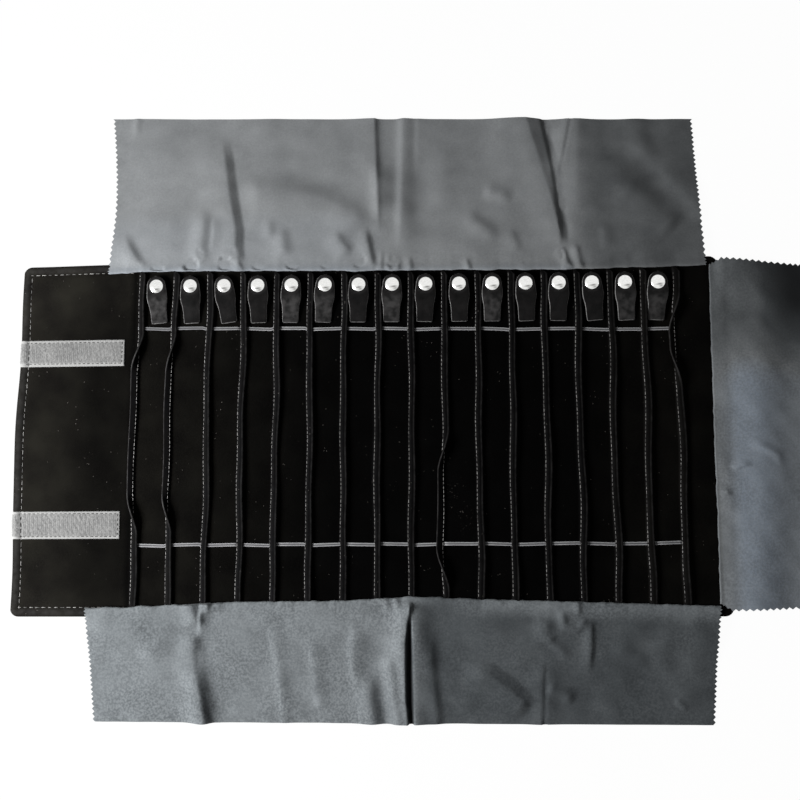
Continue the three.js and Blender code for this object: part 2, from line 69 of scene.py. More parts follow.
# The pleats: seams, how the folds lie, and where four of them lie left instead
PLEATS = 17
LANES = 16
FIRST_SEAM = -170.7
PITCH = 24.8
LANE_BOW = 4.3  # how far the seams half way along stand right of even spacing
SEAMS = [FIRST_SEAM + PITCH * k + 4 * LANE_BOW * k * (LANES - k) / LANES**2 for k in range(PLEATS)]
PLEAT_LENGTH = 4.7
PLEAT_HALF = 0.55
PLEAT_PUFF = 0.2
PLEAT_BEND = 1.7
PLEAT_TILT = 1.38
LEFT_FLOPS = {0: (-55, 62), 1: (-55, 62), 9: (-96, -12), 16: (46, 88)}
FLOP_LENGTH = 30.0

# The folds: where they are, and between which X the cloth turns
FOLD_SHIFT = 5.4  # a fold lies just past the pleat that ends a section
CLOSURE_FOLD_X = -176.0
MIDDLE_FOLD_X = SEAMS[6] + FOLD_SHIFT
RIGHT_FOLD_X = SEAMS[12] + FOLD_SHIFT
CLOSURE_TURN = (CLOSURE_FOLD_X - 5.0, CLOSURE_FOLD_X + 0.5)
MIDDLE_TURN = (MIDDLE_FOLD_X - 0.6, MIDDLE_FOLD_X + 4.0)
RIGHT_TURN = (RIGHT_FOLD_X - 0.6, RIGHT_FOLD_X + 4.0)
THIRDS = ("a", "b", "c")
CUT_PLEATS = (3, 9)  # the pleats under which one third of the cloth ends and the next begins

# The flaps' seams, and where their folds lie over the body, as (x, y)
SEAM_Y = 121.5
SEAM_X = 251.5
FOLD_TOP = (
    (-196, 124), (-164, 125.3), (-123, 125.2), (-82, 124.3),
    (0, 123), (120, 121.8), (147, 121.1), (251, 122.6),
)
FOLD_BOTTOM = (
    (-200, -123.2), (-174, -122.8), (-95, -119.3), (-17, -118.3),
    (35, -115.3), (86, -117.4), (249, -122),
)


def fold_top(x):
    return np.interp(x, *zip(*FOLD_TOP))


def fold_bottom(x):
    return np.interp(x, *zip(*FOLD_BOTTOM))


def smooth(t):
    t = np.clip(t, 0.0, 1.0)
    return t * t * (3 - 2 * t)


def bell(offset, width):
    return np.exp(-((offset / width) ** 2))


def ripple(x, y, wavelength, seed, waves=6):
    """Smooth made-up unevenness of about unit height."""
    rng = np.random.RandomState(seed)
    total = 0.0
    for _ in range(waves):
        angle, phase = rng.uniform(0, 2 * math.pi, 2)
        length = wavelength * rng.uniform(0.7, 1.5)
        total = total + np.sin((x * math.cos(angle) + y * math.sin(angle)) * 2 * math.pi / length + phase)
    return total / math.sqrt(waves)


# Meshes


def make_object(name, points, faces, material, attributes=None):
    mesh = bpy.data.meshes.new(name)
    mesh.from_pydata((np.asarray(points, float).reshape(-1, 3) * MM).tolist(), [], faces)
    mesh.polygons.foreach_set("use_smooth", [True] * len(mesh.polygons))
    for key, values in (attributes or {}).items():
        layer = mesh.attributes.new(key, "FLOAT", "POINT")
        layer.data.foreach_set("value", np.asarray(values, np.float32).ravel())
    mesh.materials.append(material)
    mesh.update()
    obj = bpy.data.objects.new(name, mesh)
    scene.collection.objects.link(obj)
    return obj


def grid_faces(rows, cols, start=0, flip=False, around=False):
    i, j = np.meshgrid(np.arange(rows - 1), np.arange(cols if around else cols - 1), indexing="ij")
    k = (j + 1) % cols
    order = [i * cols + j, i * cols + k, (i + 1) * cols + k, (i + 1) * cols + j]
    if flip:
        order.reverse()
    return (np.stack(order, -1).reshape(-1, 4) + start).tolist()


def grid_normals(points):
    normals = np.cross(np.gradient(points, axis=1), np.gradient(points, axis=0))
    return normals / np.maximum(np.linalg.norm(normals, axis=2, keepdims=True), 1e-9)


def shell(points, thickness, normals=UP):
    """A grid's upper face, its lower face a thickness below, and the rim between them."""
    rows, cols = points.shape[:2]
    count = rows * cols
    lower = points - np.asarray(normals, float) * thickness
    faces = grid_faces(rows, cols) + grid_faces(rows, cols, count, flip=True)
    index = np.arange(count).reshape(rows, cols)
    ring = np.concatenate([index[0, :-1], index[:-1, -1], index[-1, :0:-1], index[:0:-1, 0]]).tolist()
    for a, b in zip(ring, ring[1:] + ring[:1]):
        faces.append([b, a, a + count, b + count])
    return np.concatenate([points, lower]).reshape(-1, 3), faces


def revolved(profile, centre, sides=40):
    """A body turned about the vertical through centre, from pairs of radius and height, top to bottom."""
    x, y = centre
    turn = np.arange(sides) * 2 * math.pi / sides
    points = [(x, y, profile[0][1])]
    for radius, z in profile[1:-1]:
        points += [(x + radius * math.cos(a), y + radius * math.sin(a), z) for a in turn]
    points.append((x, y, profile[-1][1]))
    rings = len(profile) - 2
    faces = grid_faces(rings, sides, 1, flip=True, around=True)
    last = 1 + (rings - 1) * sides
    for i in range(sides):
        j = (i + 1) % sides
        faces.append([0, 1 + i, 1 + j])
        faces.append([len(points) - 1, last + j, last + i])
    return points, faces


def joined(parts):
    points, faces = [], []
    for part_points, part_faces in parts:
        start = len(points)
        points.extend(part_points)
        faces.extend([[v + start for v in face] for face in part_faces])
    return points, faces


DASH_SIDES = 6
DASH_RINGS = ((-0.5, 0.4, -0.7), (-0.38, 1.0, 0.0), (0.38, 1.0, 0.0), (0.5, 0.4, -0.7))


def dashes(places, radius):
    """Stitches: each place is a centre, the direction of the seam, the cloth's normal there and a length."""
    template = []
    for share, size, drop in DASH_RINGS:
        for a in np.arange(DASH_SIDES) * 2 * math.pi / DASH_SIDES:
            template.append((share, size * math.cos(a), size * math.sin(a) + drop))
    one = grid_faces(len(DASH_RINGS), DASH_SIDES, around=True)
    last = len(template) - DASH_SIDES
    one.append(list(range(DASH_SIDES))[::-1])
    one.append(list(range(last, last + DASH_SIDES)))
    points, faces = [], []
    for number, (centre, along, up, length) in enumerate(places):
        along = np.asarray(along, float) / np.linalg.norm(along)
        side = np.cross(up, along)
        side = side / np.linalg.norm(side)
        lift = np.cross(along, side)
        stitch = length * (1 + 0.2 * math.sin(number * 2.4))
        axes = np.array([along * stitch, side * radius, lift * radius])
        points.append(np.asarray(centre, float) + np.array(template) @ axes)
        faces.extend([[v + number * len(template) for v in face] for face in one])
    return np.concatenate(points), faces


# Materials


def srgb(code):
    channels = [int(code[i : i + 2], 16) / 255 for i in (1, 3, 5)]
    return tuple(c / 12.92 if c <= 0.04045 else ((c + 0.055) / 1.055) ** 2.4 for c in channels) + (1.0,)


class Nodes:
    """Short ways to add nodes to a tree. A colour may be given by its code."""

    def __init__(self, tree):
        self.tree = tree

    def feed(self, socket, value):
        if isinstance(value, bpy.types.NodeSocket):
            self.tree.links.new(value, socket)
        else:
            socket.default_value = srgb(value) if isinstance(value, str) else value

    def add(self, kind, inputs=None, **settings):
        node = self.tree.nodes.new(kind)
        for key, value in settings.items():
            setattr(node, key, value)
        for key, value in (inputs or {}).items():
            self.feed(node.inputs[key], value)
        return node

    def math(self, operation, a, b):
        return self.add("ShaderNodeMath", {0: a, 1: b}, operation=operation).outputs[0]

    def product(self, a, b):
        return self.math("MULTIPLY", a, b)

    def span(self, value, low, high, to_low=0.0, to_high=1.0):
        inputs = {"Value": value, "From Min": low, "From Max": high, "To Min": to_low, "To Max": to_high}
        return self.add("ShaderNodeMapRange", inputs).outputs["Result"]

    def seen_white(self):
        """1 for the rays that see the background directly, in a mirror or through glass."""
        rays = self.add("ShaderNodeLightPath").outputs
        seen = self.math("MAXIMUM", rays["Is Camera Ray"], rays["Is Glossy Ray"])
        return self.math("MAXIMUM", seen, rays["Is Transmission Ray"])


WAVE_LENGTH = 0.314  # of a wave texture at scale 1


class Finish(Nodes):
    """A material with a Principled shader. Its textures are measured in millimetres."""

    def __init__(self, name, roughness, specular, **constants):
        self.material = bpy.data.materials.new(name)
        self.material.use_nodes = True
        super().__init__(self.material.node_tree)
        self.shader = self.tree.nodes["Principled BSDF"]
        self.set("Roughness", roughness)
        self.set("Specular IOR Level", specular)
        for key, value in constants.items():
            self.set(key.replace("_", " "), value)
        self.place = self.add("ShaderNodeTexCoord").outputs["Object"]

    def set(self, socket, value):
        self.feed(self.shader.inputs[socket], value)

    def noise(self, size, detail, stretch=(1, 1, 1)):
        scaled = self.add("ShaderNodeMapping", {"Vector": self.place, "Scale": stretch}).outputs["Vector"]
        inputs = {"Vector": scaled, "Scale": 1 / (size * MM), "Detail": detail}
        return self.add("ShaderNodeTexNoise", inputs).outputs["Fac"]

    def patches(self, size, detail, *limits):
        return self.span(self.noise(size, detail), *limits)

    def cells(self, size, feature="F1"):
        inputs = {"Vector": self.place, "Scale": 1 / (size * MM)}
        return self.add("ShaderNodeTexVoronoi", inputs, feature=feature).outputs["Distance"]

    def wave(self, pitch, direction):
        inputs = {"Vector": self.place, "Scale": WAVE_LENGTH / (pitch * MM), "Distortion": 0.6, "Detail": 1.0}
        settings = {"wave_type": "BANDS", "bands_direction": direction}
        return self.add("ShaderNodeTexWave", inputs, **settings).outputs["Fac"]

    def mix(self, factor, a, b, blend_type="MIX"):
        inputs = {0: factor, 6: a, 7: b}
        return self.add("ShaderNodeMix", inputs, data_type="RGBA", blend_type=blend_type).outputs[2]

    def attribute(self, name):
        return self.add("ShaderNodeAttribute", attribute_name=name).outputs["Fac"]

    def bump(self, height, depth, strength):
        inputs = {"Height": height, "Distance": depth * MM, "Strength": strength}
        self.set("Normal", self.add("ShaderNodeBump", inputs).outputs["Normal"])


def velvet_finish():
    f = Finish("black_velvet", 0.95, 0.015, Sheen_Weight=0.02, Sheen_Roughness=0.4, Sheen_Tint="#a89c92")
    brushed = f.patches(26, 4.0, 0.35, 0.7)
    pile = f.noise(0.55, 2.0)
    lane = f.mix(brushed, "#010101", "#030303")
    lane = f.mix(f.span(pile, 0.35, 0.75, 0.0, 0.2), lane, "#0e0d0d")
    plain = f.mix(brushed, "#0e0d0c", "#1e1d19")
    plain = f.mix(f.span(pile, 0.35, 0.75, 0.0, 0.4), plain, "#2d2b27")
    # The closure panel's lighter velvet, which also paints light onto the lanes nearest it
    base = f.mix(f.attribute("plain"), lane, plain)
    # The pleats' faces are painted lighter than the lanes: partly rubbing, partly painted light
    rubbed_and_lit = f.product(f.attribute("pleat"), f.patches(7, 3.0, 0.3, 0.7, 0.4, 1.0))
    base = f.mix(rubbed_and_lit, base, "#0c0c0d")
    specks = f.span(f.cells(3.2), 0.05, 0.08, 1.0, 0.0)
    lint = f.product(specks, f.patches(15, 2.0, 0.53, 0.6))
    base = f.mix(f.product(lint, 0.8), base, "#7b7671")
    dust = f.product(f.attribute("dust"), f.patches(5, 3.0, 0.42, 0.6))
    dust = f.product(dust, f.span(f.cells(1.7), 0.12, 0.3, 1.0, 0.0))
    base = f.mix(dust, base, "#4a4744")
    # Painted highlight: the pleats' lit fold edges and shoulders turn a lighter grey
    edge_highlight = f.product(f.attribute("edge"), f.patches(4.0, 2.0, 0.3, 0.65, 0.35, 1.0))
    f.set("Base Color", f.mix(edge_highlight, base, "#4b4a4a"))
    f.bump(pile, 0.25, 0.6)
    return f.material


def cover_finish():
    f = Finish("black_cover", 0.62, 0.3)
    f.set("Base Color", f.mix(f.patches(30, 3.0, 0.4, 0.7), "#161516", "#211f1f"))
    f.set("Roughness", f.patches(6, 2.0, 0.3, 0.7, 0.5, 0.72))
    f.bump(f.cells(1.3, "SMOOTH_F1"), 0.25, 0.5)
    return f.material


def thread_finish(name, low, high):
    f = Finish(name, 0.7, 0.25)
    f.set("Base Color", f.mix(f.patches(6, 3.0, 0.35, 0.65), low, high))
    f.bump(f.wave(0.35, "DIAGONAL"), 0.08, 0.6)
    return f.material


def leather_finish():
    f = Finish("tab_leather", 0.42, 0.05)
    grain = f.cells(0.7, "SMOOTH_F1")
    tone = f.mix(f.patches(7, 3.0, 0.35, 0.7), "#060606", "#131212")
    # Rubbing and a painted sheen: the tails are painted paler
    rubbed_sheen = f.mix(f.patches(5.0, 2.0, 0.35, 0.65), "#1c1c1c", "#3f3e3e")
    tone = f.mix(f.attribute("rub_and_sheen"), tone, rubbed_sheen)
    tone = f.mix(f.patches(0.9, 2.0, 0.66, 0.74, 0.0, 0.3), tone, "#3a3835")
    tone = f.mix(f.attribute("pressed"), tone, "#262525")
    cut_edge = f.span(f.attribute("edge"), 0.3, 0.6)
    raw = f.mix(f.patches(1.4, 2.0, 0.3, 0.7), "#4c4b4b", "#868584")
    f.set("Base Color", f.mix(cut_edge, tone, raw))
    f.set("Roughness", f.patches(9, 2.0, 0.35, 0.65, 0.3, 0.55))
    f.bump(f.math("ADD", grain, f.noise(2.2, 3.0)), 0.12, 0.5)
    return f.material


def metal_finish():
    f = Finish("snap_metal", 0.5, 0.5, Metallic=1.0)
    scuffs = f.noise(1.6, 4.0, (1, 6, 1))
    tone = f.mix(f.span(scuffs, 0.35, 0.7), "#f2f2f0", "#dddddb")
    # Painted reflection: a dark mark low on each dome
    f.set("Base Color", f.mix(f.attribute("painted_reflection"), tone, "#3a3733"))
    f.set("Roughness", f.span(scuffs, 0.3, 0.75, 0.1, 0.26))
    f.bump(f.noise(2.8, 2.0), 0.02, 0.35)
    return f.material


def elastic_finish():
    f = Finish("grey_elastic", 0.75, 0.15)
    ribs = f.wave(0.55, "X")
    tone = f.mix(f.patches(9, 3.0, 0.3, 0.7), "#8a8a8c", "#a5a5a6")
    tone = f.mix(f.attribute("cord"), "#4a4a4c", tone)
    f.set("Base Color", f.mix(f.span(ribs, 0.2, 0.9, 0.0, 0.4), tone, "#59595c"))
    f.bump(ribs, 0.12, 0.7)
    return f.material


def tape_finish(name, low, high, border):
    f = Finish(name, 0.88, 0.1, Sheen_Weight=0.1)
    fuzz = f.noise(0.7, 4.0, (1.6, 0.4, 1))
    tone = f.mix(f.span(fuzz, 0.36, 0.64), low, high)
    tone = f.mix(f.patches(8, 3.0, 0.4, 0.75, 0.0, 0.5), tone, high)
    wales = f.product(f.span(f.wave(1.5, "X"), 0.2, 0.8), f.patches(14, 2.0, 0.42, 0.6, 0.1, 0.6))
    tone = f.mix(wales, tone, low)
    weave = f.mix(f.span(f.wave(0.7, "X"), 0.2, 0.8, 0.0, 0.3), border, high)
    f.set("Base Color", f.mix(f.attribute("edge"), tone, weave))
    f.bump(fuzz, 0.3, 0.8)
    return f.material


def cloth_finish():
    """Brushed flannel, cooler where it is fuzzy. An attribute paints light and shade onto it: paler and bluer
    where painted lit, near black in the deep fold.
    """
    f = Finish("grey_dust_cloth", 0.9, 0.06, Sheen_Weight=0.05, Sheen_Roughness=0.5)
    nap_and_painted_light = f.noise(1.1, 4.0)
    # The flaps' painted light and shade, read from an attribute
    way = f.attribute("nap_and_painted_light")
    fuzz = f.attribute("fuzz")
    uneven = f.math("ADD", f.patches(40, 3.0, 0.3, 0.7, -0.18, 0.18), f.patches(13, 2.0, 0.3, 0.7, -0.1, 0.1))
    painted_shading = f.span(f.math("ADD", way, uneven), -1.0, 1.0)
    tone = f.mix(painted_shading, "#464849", "#959798")
    # Painted light: where the cloth is painted lit, it turns a paler blue grey
    tone = f.mix(f.span(way, 0.35, 0.9, 0.0, 0.75), tone, "#8792a0")
    tone = f.mix(f.span(nap_and_painted_light, 0.3, 0.75, 0.0, 0.35), tone, f.mix(painted_shading, "#606263", "#b0b1b2"))
    grain = f.product(f.patches(1.6, 3.0, 0.38, 0.62), f.patches(30, 2.0, 0.3, 0.65, 0.2, 0.5))
    tone = f.mix(f.product(grain, fuzz), tone, "#303234")
    tone = f.mix(fuzz, tone, (0.95, 1.0, 1.03, 1.0), "MULTIPLY")
    # Painted shadow: near black inside the bottom flap's deep fold
    tone = f.mix(f.span(way, -1.0, -2.6, 0.0, 0.95), tone, "#060606")
    weave = f.product(f.wave(0.5, "X"), f.wave(0.5, "Y"))
    f.set("Base Color", f.mix(f.span(weave, 0.0, 0.9, 0.2, 0.0), tone, "#3f4246"))
    f.bump(f.math("ADD", f.product(weave, 0.5), nap_and_painted_light), 0.14, 0.6)
    return f.material


VELVET = velvet_finish()
COVER = cover_finish()
PALE_THREAD = thread_finish("pale_thread", "#444342", "#a9a7a5")
RUBBED_THREAD = thread_finish("rubbed_thread", "#3a3938", "#979593")
DARK_THREAD = thread_finish("dark_thread", "#2a2929", "#3d3b3a")
LEATHER = leather_finish()
METAL = metal_finish()
ELASTIC = elastic_finish()
LOOP_TAPE = tape_finish("loop_tape", "#5b5b5b", "#858584", "#919190")
HOOK_TAPE = tape_finish("hook_tape", "#2b2b2c", "#474748", "#3a3a3a")
DUST_CLOTH = cloth_finish()

# Camera and stage

CAMERA_TURN = (-5.942, -2.488, 0.667)
CAMERA_SHIFT = (-25.41, -26.26, -589.04)
rx, ry, rz = (Matrix.Rotation(math.radians(a), 3, axis) for a, axis in zip(CAMERA_TURN, "XYZ"))
to_camera = rz @ ry @ rx
camera_data = bpy.data.cameras.new("camera")
camera_data.sensor_width = 36.0
camera_data.lens = 36.0
camera = bpy.data.objects.new("camera", camera_data)
shift = Matrix.Translation([c * MM for c in CAMERA_SHIFT])
camera.matrix_world = (shift @ to_camera.to_4x4()).inverted()
scene.collection.objects.link(camera)
scene.camera = camera
scene.view_settings.view_transform = "Standard"

WHITE = (1, 1, 1, 1)
FLOOR_GREY = (0.85, 0.85, 0.85, 1)
FLOOR_WHITE = 0.97
FLOOR_HALF = 6000.0
FLOOR_LEVEL = -0.2
FILL = 0.1
paper = Finish("floor_paper", 1.0, 0.0, Base_Color=FLOOR_GREY)
glow = paper.add("ShaderNodeEmission", {"Color": WHITE}).outputs[0]
share_white = paper.product(paper.seen_white(), FLOOR_WHITE)
shown = paper.add("ShaderNodeMixShader", {0: share_white, 1: paper.shader.outputs[0], 2: glow}).outputs[0]
paper.feed(paper.tree.nodes["Material Output"].inputs["Surface"], shown)
floor_corners = [(FLOOR_HALF * x, FLOOR_HALF * y, FLOOR_LEVEL) for x, y in SQUARE]
make_object("floor", floor_corners, [(0, 1, 2, 3)], paper.material)

world = bpy.data.worlds.new("world")
world.use_nodes = True
scene.world = world
sky = Nodes(world.node_tree)
background = world.node_tree.nodes["Background"].inputs
sky.feed(background["Color"], WHITE)
sky.feed(background["Strength"], sky.span(sky.seen_white(), 0.0, 1.0, FILL, 1.0))

lamp_data = bpy.data.lights.new("window", "AREA")
lamp_data.size = 0.3
lamp_data.energy = 13.0
lamp = bpy.data.objects.new("window", lamp_data)
lamp.location = (-0.66, -0.14, 0.42)
lamp.rotation_mode = "QUATERNION"
lamp.rotation_quaternion = (-lamp.location).to_track_quat("-Z", "Y")
scene.collection.objects.link(lamp)

# The body's outline, lining and cover

ROLL_WIDTH = 6.7  # from the edge to the seam that holds the roll of padding along it
ROLL_HEIGHT = 0.55
GROOVE = 0.4  # how deep that seam lies
LEFT_WAVER = 60.0  # how far in the unevenness of the left edge reaches
LEFT_BOW = 2.3
EDGE_RADIUS = 2.0
BORDER_STEPS = (0.0, 0.15, 0.55, 1.2, 2.0, 3.2, 4.6, 5.8, 6.7, 7.6, 9.0)
UNDER_FLAP = 3.5  # how far the pleats run in under the bottom flap's fold
UNDER_LOW_FLAP = 1.5  # and under the top flap's lower one
WALL_SHARES = (0.0, 0.12, 0.26, 0.42, 0.6, 0.8, 1.0)
TIP_TURNS = (45, 90, 135)
FINE = 26


def half_width(x):
    inset = np.clip(CORNER - (HALF_LENGTH - np.abs(x)), 0, CORNER)
    return HALF_WIDTH - CORNER + np.sqrt(CORNER**2 - inset**2)


def from_edge(x, y):
    """How far in from the body's edge a point lies."""
    return np.minimum(HALF_LENGTH - np.abs(x), half_width(x) - np.abs(y))


def edge_roll(edge):
    """0 at the edge and at its seam, and 1 half way between them."""
    return np.sin(math.pi * np.clip(edge / ROLL_WIDTH, 0, 1))


def wavered(x, y):
    """The left edge isn't cut straight: it bows out, less and less towards the first fold."""
    near = smooth((-HALF_LENGTH + LEFT_WAVER - x) / LEFT_WAVER)
    bow = LEFT_BOW * bell(y + 10, 46)
    return x - near * (1.2 + bow + 0.3 * np.sin(y / 13))


def skewed(x, y):
    """The closure panel lies a little higher than the rest, and its cloth is stretched across."""
    stretch = y / HALF_WIDTH
    droop = 0.8 * smooth((-190 - x) / 65) * smooth(stretch)
    return y + (0.95 + 1.15 * stretch - droop) * smooth((-140 - x) / 50)


def shaped(x, y, z):
    """Points of the body, moved as its uneven outline asks."""
    return np.stack([wavered(x, y), skewed(x, y), z], -1)


def ground(x, y):
    """Height of the lining where no pleat rises from it."""
    top = CLOSURE_TOP + (PANEL_TOP - CLOSURE_TOP) * smooth((x - CLOSURE_FOLD_X + 6) / 12)
    edge = from_edge(x, y)
    dip = EDGE_RADIUS - np.clip(edge, 0, EDGE_RADIUS)
    rounded = (top - RIM_Z) / EDGE_RADIUS * (EDGE_RADIUS - np.sqrt(EDGE_RADIUS**2 - dip**2))
    roll = ROLL_HEIGHT * edge_roll(edge) ** 2
    groove = GROOVE * bell(edge - ROLL_WIDTH, 1.0)
    return top - rounded + roll - groove + 0.12 * ripple(x, y, 38, 3) * smooth(edge / 12)


def under(x, y):
    """Height of the cover's outer face: a hem round the edge stands a little lower than the rest."""
    edge = from_edge(x, y)
    dip = RIM_Z - np.clip(edge, 0, RIM_Z)
    hem = COVER_UNDER * smooth((edge - ROLL_WIDTH + 1.4) / 2.8)
    return RIM_Z - np.sqrt(np.maximum(RIM_Z**2 - dip**2, 0)) + hem


def body_rows(step):
    inner = HALF_WIDTH - BORDER_STEPS[-1]
    middle = np.linspace(-inner, inner, int(2 * inner / step) + 1)
    outer = HALF_WIDTH - np.array(BORDER_STEPS[:-1])
    return np.concatenate([-outer, middle, outer[::-1]])


def seam_x(k, y):
    """Where a pleat's seam runs: slanted a little, and not quite straight."""
    waver = 0.55 * np.sin(y / 27 + 1.7 * k) + 0.3 * np.sin(y / 11 + 2.9 * k)
    return SEAMS[k] + 0.7 * y / 120 + waver * smooth((118 - np.abs(y)) / 30)


def pleat_tilt(k, y):
    """The angle a pleat lies over: positive is right, and it stands up on its way to the other side."""
    low, high = LEFT_FLOPS.get(k, (0, 0))
    turned = smooth((y - low) / FLOP_LENGTH + 0.5) - smooth((y - high) / FLOP_LENGTH + 0.5)
    uneven = 0.09 * np.sin(y / 23 + 2.1 * k) + 0.05 * np.sin(y / 9 + k)
    return np.arcsin(np.clip(np.sin(PLEAT_TILT + uneven) * (1 - 2 * turned), -1, 1))


def pleat_fade(k, y):
    """1 along a pleat, and 0 where it has run out under the flaps' folds."""
    x = SEAMS[k]
    top = smooth((fold_top(x) + UNDER_LOW_FLAP - y) / (UNDER_LOW_FLAP + UNDER_FLAP))
    bottom = smooth((y - fold_bottom(x) + UNDER_FLAP) / UNDER_FLAP)
    return top * bottom


def pleat_section(k, y, shares=WALL_SHARES, tip=TIP_TURNS):
    """X and Z of a pleat's loop at each y, from its left foot over the fold to its right foot."""
    fade = pleat_fade(k, y)
    length = (PLEAT_LENGTH + 0.4 * np.sin(y / 19 + 1.3 * k)) * (0.05 + 0.95 * fade)
    fine = np.linspace(0, 1, FINE)
    theta = pleat_tilt(k, y)[:, None] * smooth(length[:, None] * fine / PLEAT_BEND)
    step = length[:, None] / (FINE - 1)
    middle = (theta[:, 1:] + theta[:, :-1]) / 2
    zero = np.zeros((len(y), 1))
    cx = np.concatenate([zero, np.cumsum(np.sin(middle) * step, 1)], 1)
    cz = np.concatenate([zero, np.cumsum(np.cos(middle) * step, 1)], 1)
    half = (PLEAT_HALF + PLEAT_PUFF * fine) * (0.3 + 0.7 * fade[:, None])
    crown = theta[:, -1:] + np.radians(np.array(tip) - 90)
    crown_x = cx[:, -1:] + half[:, -1:] * np.sin(crown)
    crown_z = cz[:, -1:] + half[:, -1:] * np.cos(crown)
    pick = [int(round(share * (FINE - 1))) for share in shares]
    wide = (half * np.cos(theta))[:, pick]
    low = (half * np.sin(theta))[:, pick]
    cx, cz = cx[:, pick], cz[:, pick]
    xs = np.concatenate([cx - wide, crown_x, (cx + wide)[:, ::-1]], 1)
    zs = np.concatenate([cz + low, crown_z, (cz - low)[:, ::-1]], 1)
    base = seam_x(k, y)
    return xs + base[:, None], zs + ground(base, y)[:, None]


VELVET_STEP = 2.6
COVER_STEP = 6.0
# Where the columns of the velvet stand between two edges
CLOSURE_SHARES = np.linspace(0, 1, 24)[1:-1]
FOLD_SHARES = np.linspace(0, 1, 12)
PAST_FOLD_SHARES = np.linspace(0, 1, 11)[1:-1]
END_SHARES = np.linspace(0, 1, 10)[1:-1]
HEEL_SHARES = (0.3, 0.65)
LANE_SHARES = (np.arange(1, 14) - 0.5) / 13
LANE_TURNS = {7: MIDDLE_TURN, 13: RIGHT_TURN}  # the lanes with a fold, by the pleat that ends them
# Painted highlight along the pleats' lit shoulders and fold edges, as shares of a lighter grey
SHOULDER_HIGHLIGHT = (0.0, 0.05, 0.1, 0.06, 0.02, 0.0, 0.25)
TIP_HIGHLIGHT = (0.55, 1.0, 0.55)
DUST_PLACE = (68.0, -50.0)
DUST_WAY = (0.317, -0.948)
DUST_LENGTH = 17.0
DUST_WIDTH = 4.5
rows = body_rows(VELVET_STEP)
full = np.ones(len(rows))
border = np.array(BORDER_STEPS) - HALF_LENGTH
columns = []  # of the lining's grid: X, Z, the painted highlight on the pleats' folds, and the marks of pleats
cut_columns = []


def lay_flat(x0, x1, shares):
    """Columns of plain cloth between two edges that may wander along the roll."""
    for share in shares:
        x = full * (x0 + (x1 - x0) * share)
        columns.append((x, ground(x, rows * half_width(x) / HALF_WIDTH), full * 0, full * 0))


lay_flat(0, 1, border)
lay_flat(border[-1], CLOSURE_TURN[0], CLOSURE_SHARES)
lay_flat(*CLOSURE_TURN, FOLD_SHARES)
last_edge = CLOSURE_TURN[1]
for k in range(PLEATS):
    xs, zs = pleat_section(k, rows)
    if k in LANE_TURNS:
        start, end = LANE_TURNS[k]
        lay_flat(last_edge, start, HEEL_SHARES)
        lay_flat(start, end, FOLD_SHARES)
        lay_flat(end, xs[:, 0], PAST_FOLD_SHARES)
    else:
        lay_flat(last_edge, xs[:, 0], LANE_SHARES if k else HEEL_SHARES)
    fade = pleat_fade(k, rows)
    leans_left = smooth(0.5 - pleat_tilt(k, rows))
    # The tips' painted highlight, stronger for pleats that lean left and lie towards the lamp
    rubbed_and_lit = 0.45 + 0.55 * leans_left * float(smooth((20 - SEAMS[k]) / 120))
    painted_highlight = [share * (1 - leans_left) for share in SHOULDER_HIGHLIGHT]
    painted_highlight += [share * rubbed_and_lit for share in TIP_HIGHLIGHT]
    painted_highlight += [full * 0] * len(WALL_SHARES)
    columns += [(x, z, edge_highlight * fade, fade) for x, z, edge_highlight in zip(xs.T, zs.T, painted_highlight)]
    last_edge = xs[:, -1]
    if k in CUT_PLEATS:
        cut_columns.append(len(columns) - 1)
lay_flat(last_edge, -border[-1], END_SHARES)
lay_flat(0, 1, -border[::-1])

lining_x, lining_z, lining_highlight, lining_pleat = (np.stack(values, 1) for values in zip(*columns))
lining_y = rows[:, None] * half_width(lining_x) / HALF_WIDTH
lining = shaped(lining_x, lining_y, lining_z)
# The crest of the closure panel's edge roll is painted lighter the same way
lining_highlight += 0.2 * edge_roll(from_edge(lining_x, lining_y)) * (lining_x < CLOSURE_FOLD_X)
# more so towards the left, where the lamp is: partly rubbing, partly painted light
lining_pleat *= 0.3 + 0.7 * smooth((50 - lining_x) / 130)
# The closure panel's velvet is lighter towards its outer edge and its upper end
lining_plain_and_painted_light = 0.24 + 0.38 * smooth((-195 - lining_x) / 45) + 0.42 * smooth((lining_y - 60) / 55)
lining_plain_and_painted_light += 0.2 * smooth((-104 - lining_y) / 14)
lining_plain_and_painted_light *= smooth((CLOSURE_FOLD_X + 4 - lining_x) / 8)
# Painted light: the lanes next to it are painted lighter too, and a little the last lanes
lane_painted_light = 0.34 * smooth(-lining_x / 175) + 0.2 * smooth((lining_x - 150) / 60)
lining_plain_and_painted_light = np.maximum(lining_plain_and_painted_light, lane_painted_light * smooth((lining_x - CLOSURE_FOLD_X) / 8))
# A smear of dust lies in one lane, slanting down to the right
dust_x = lining_x - DUST_PLACE[0]
dust_y = lining_y - DUST_PLACE[1]
dust_along = (dust_x * DUST_WAY[0] + dust_y * DUST_WAY[1]) / DUST_LENGTH
dust_across = (dust_x * DUST_WAY[1] - dust_y * DUST_WAY[0]) / DUST_WIDTH
lining_dust = np.exp(-(dust_along**2) - dust_across**2)
lining_marks = {"edge": lining_highlight, "pleat": lining_pleat, "plain": lining_plain_and_painted_light, "dust": lining_dust}


def turned_over(piece):
    """Bakes a piece's placement into its mesh."""
    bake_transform(piece)


def parts_between(cuts):
    return [slice(first, last + 1) for first, last in zip(cuts, cuts[1:])]


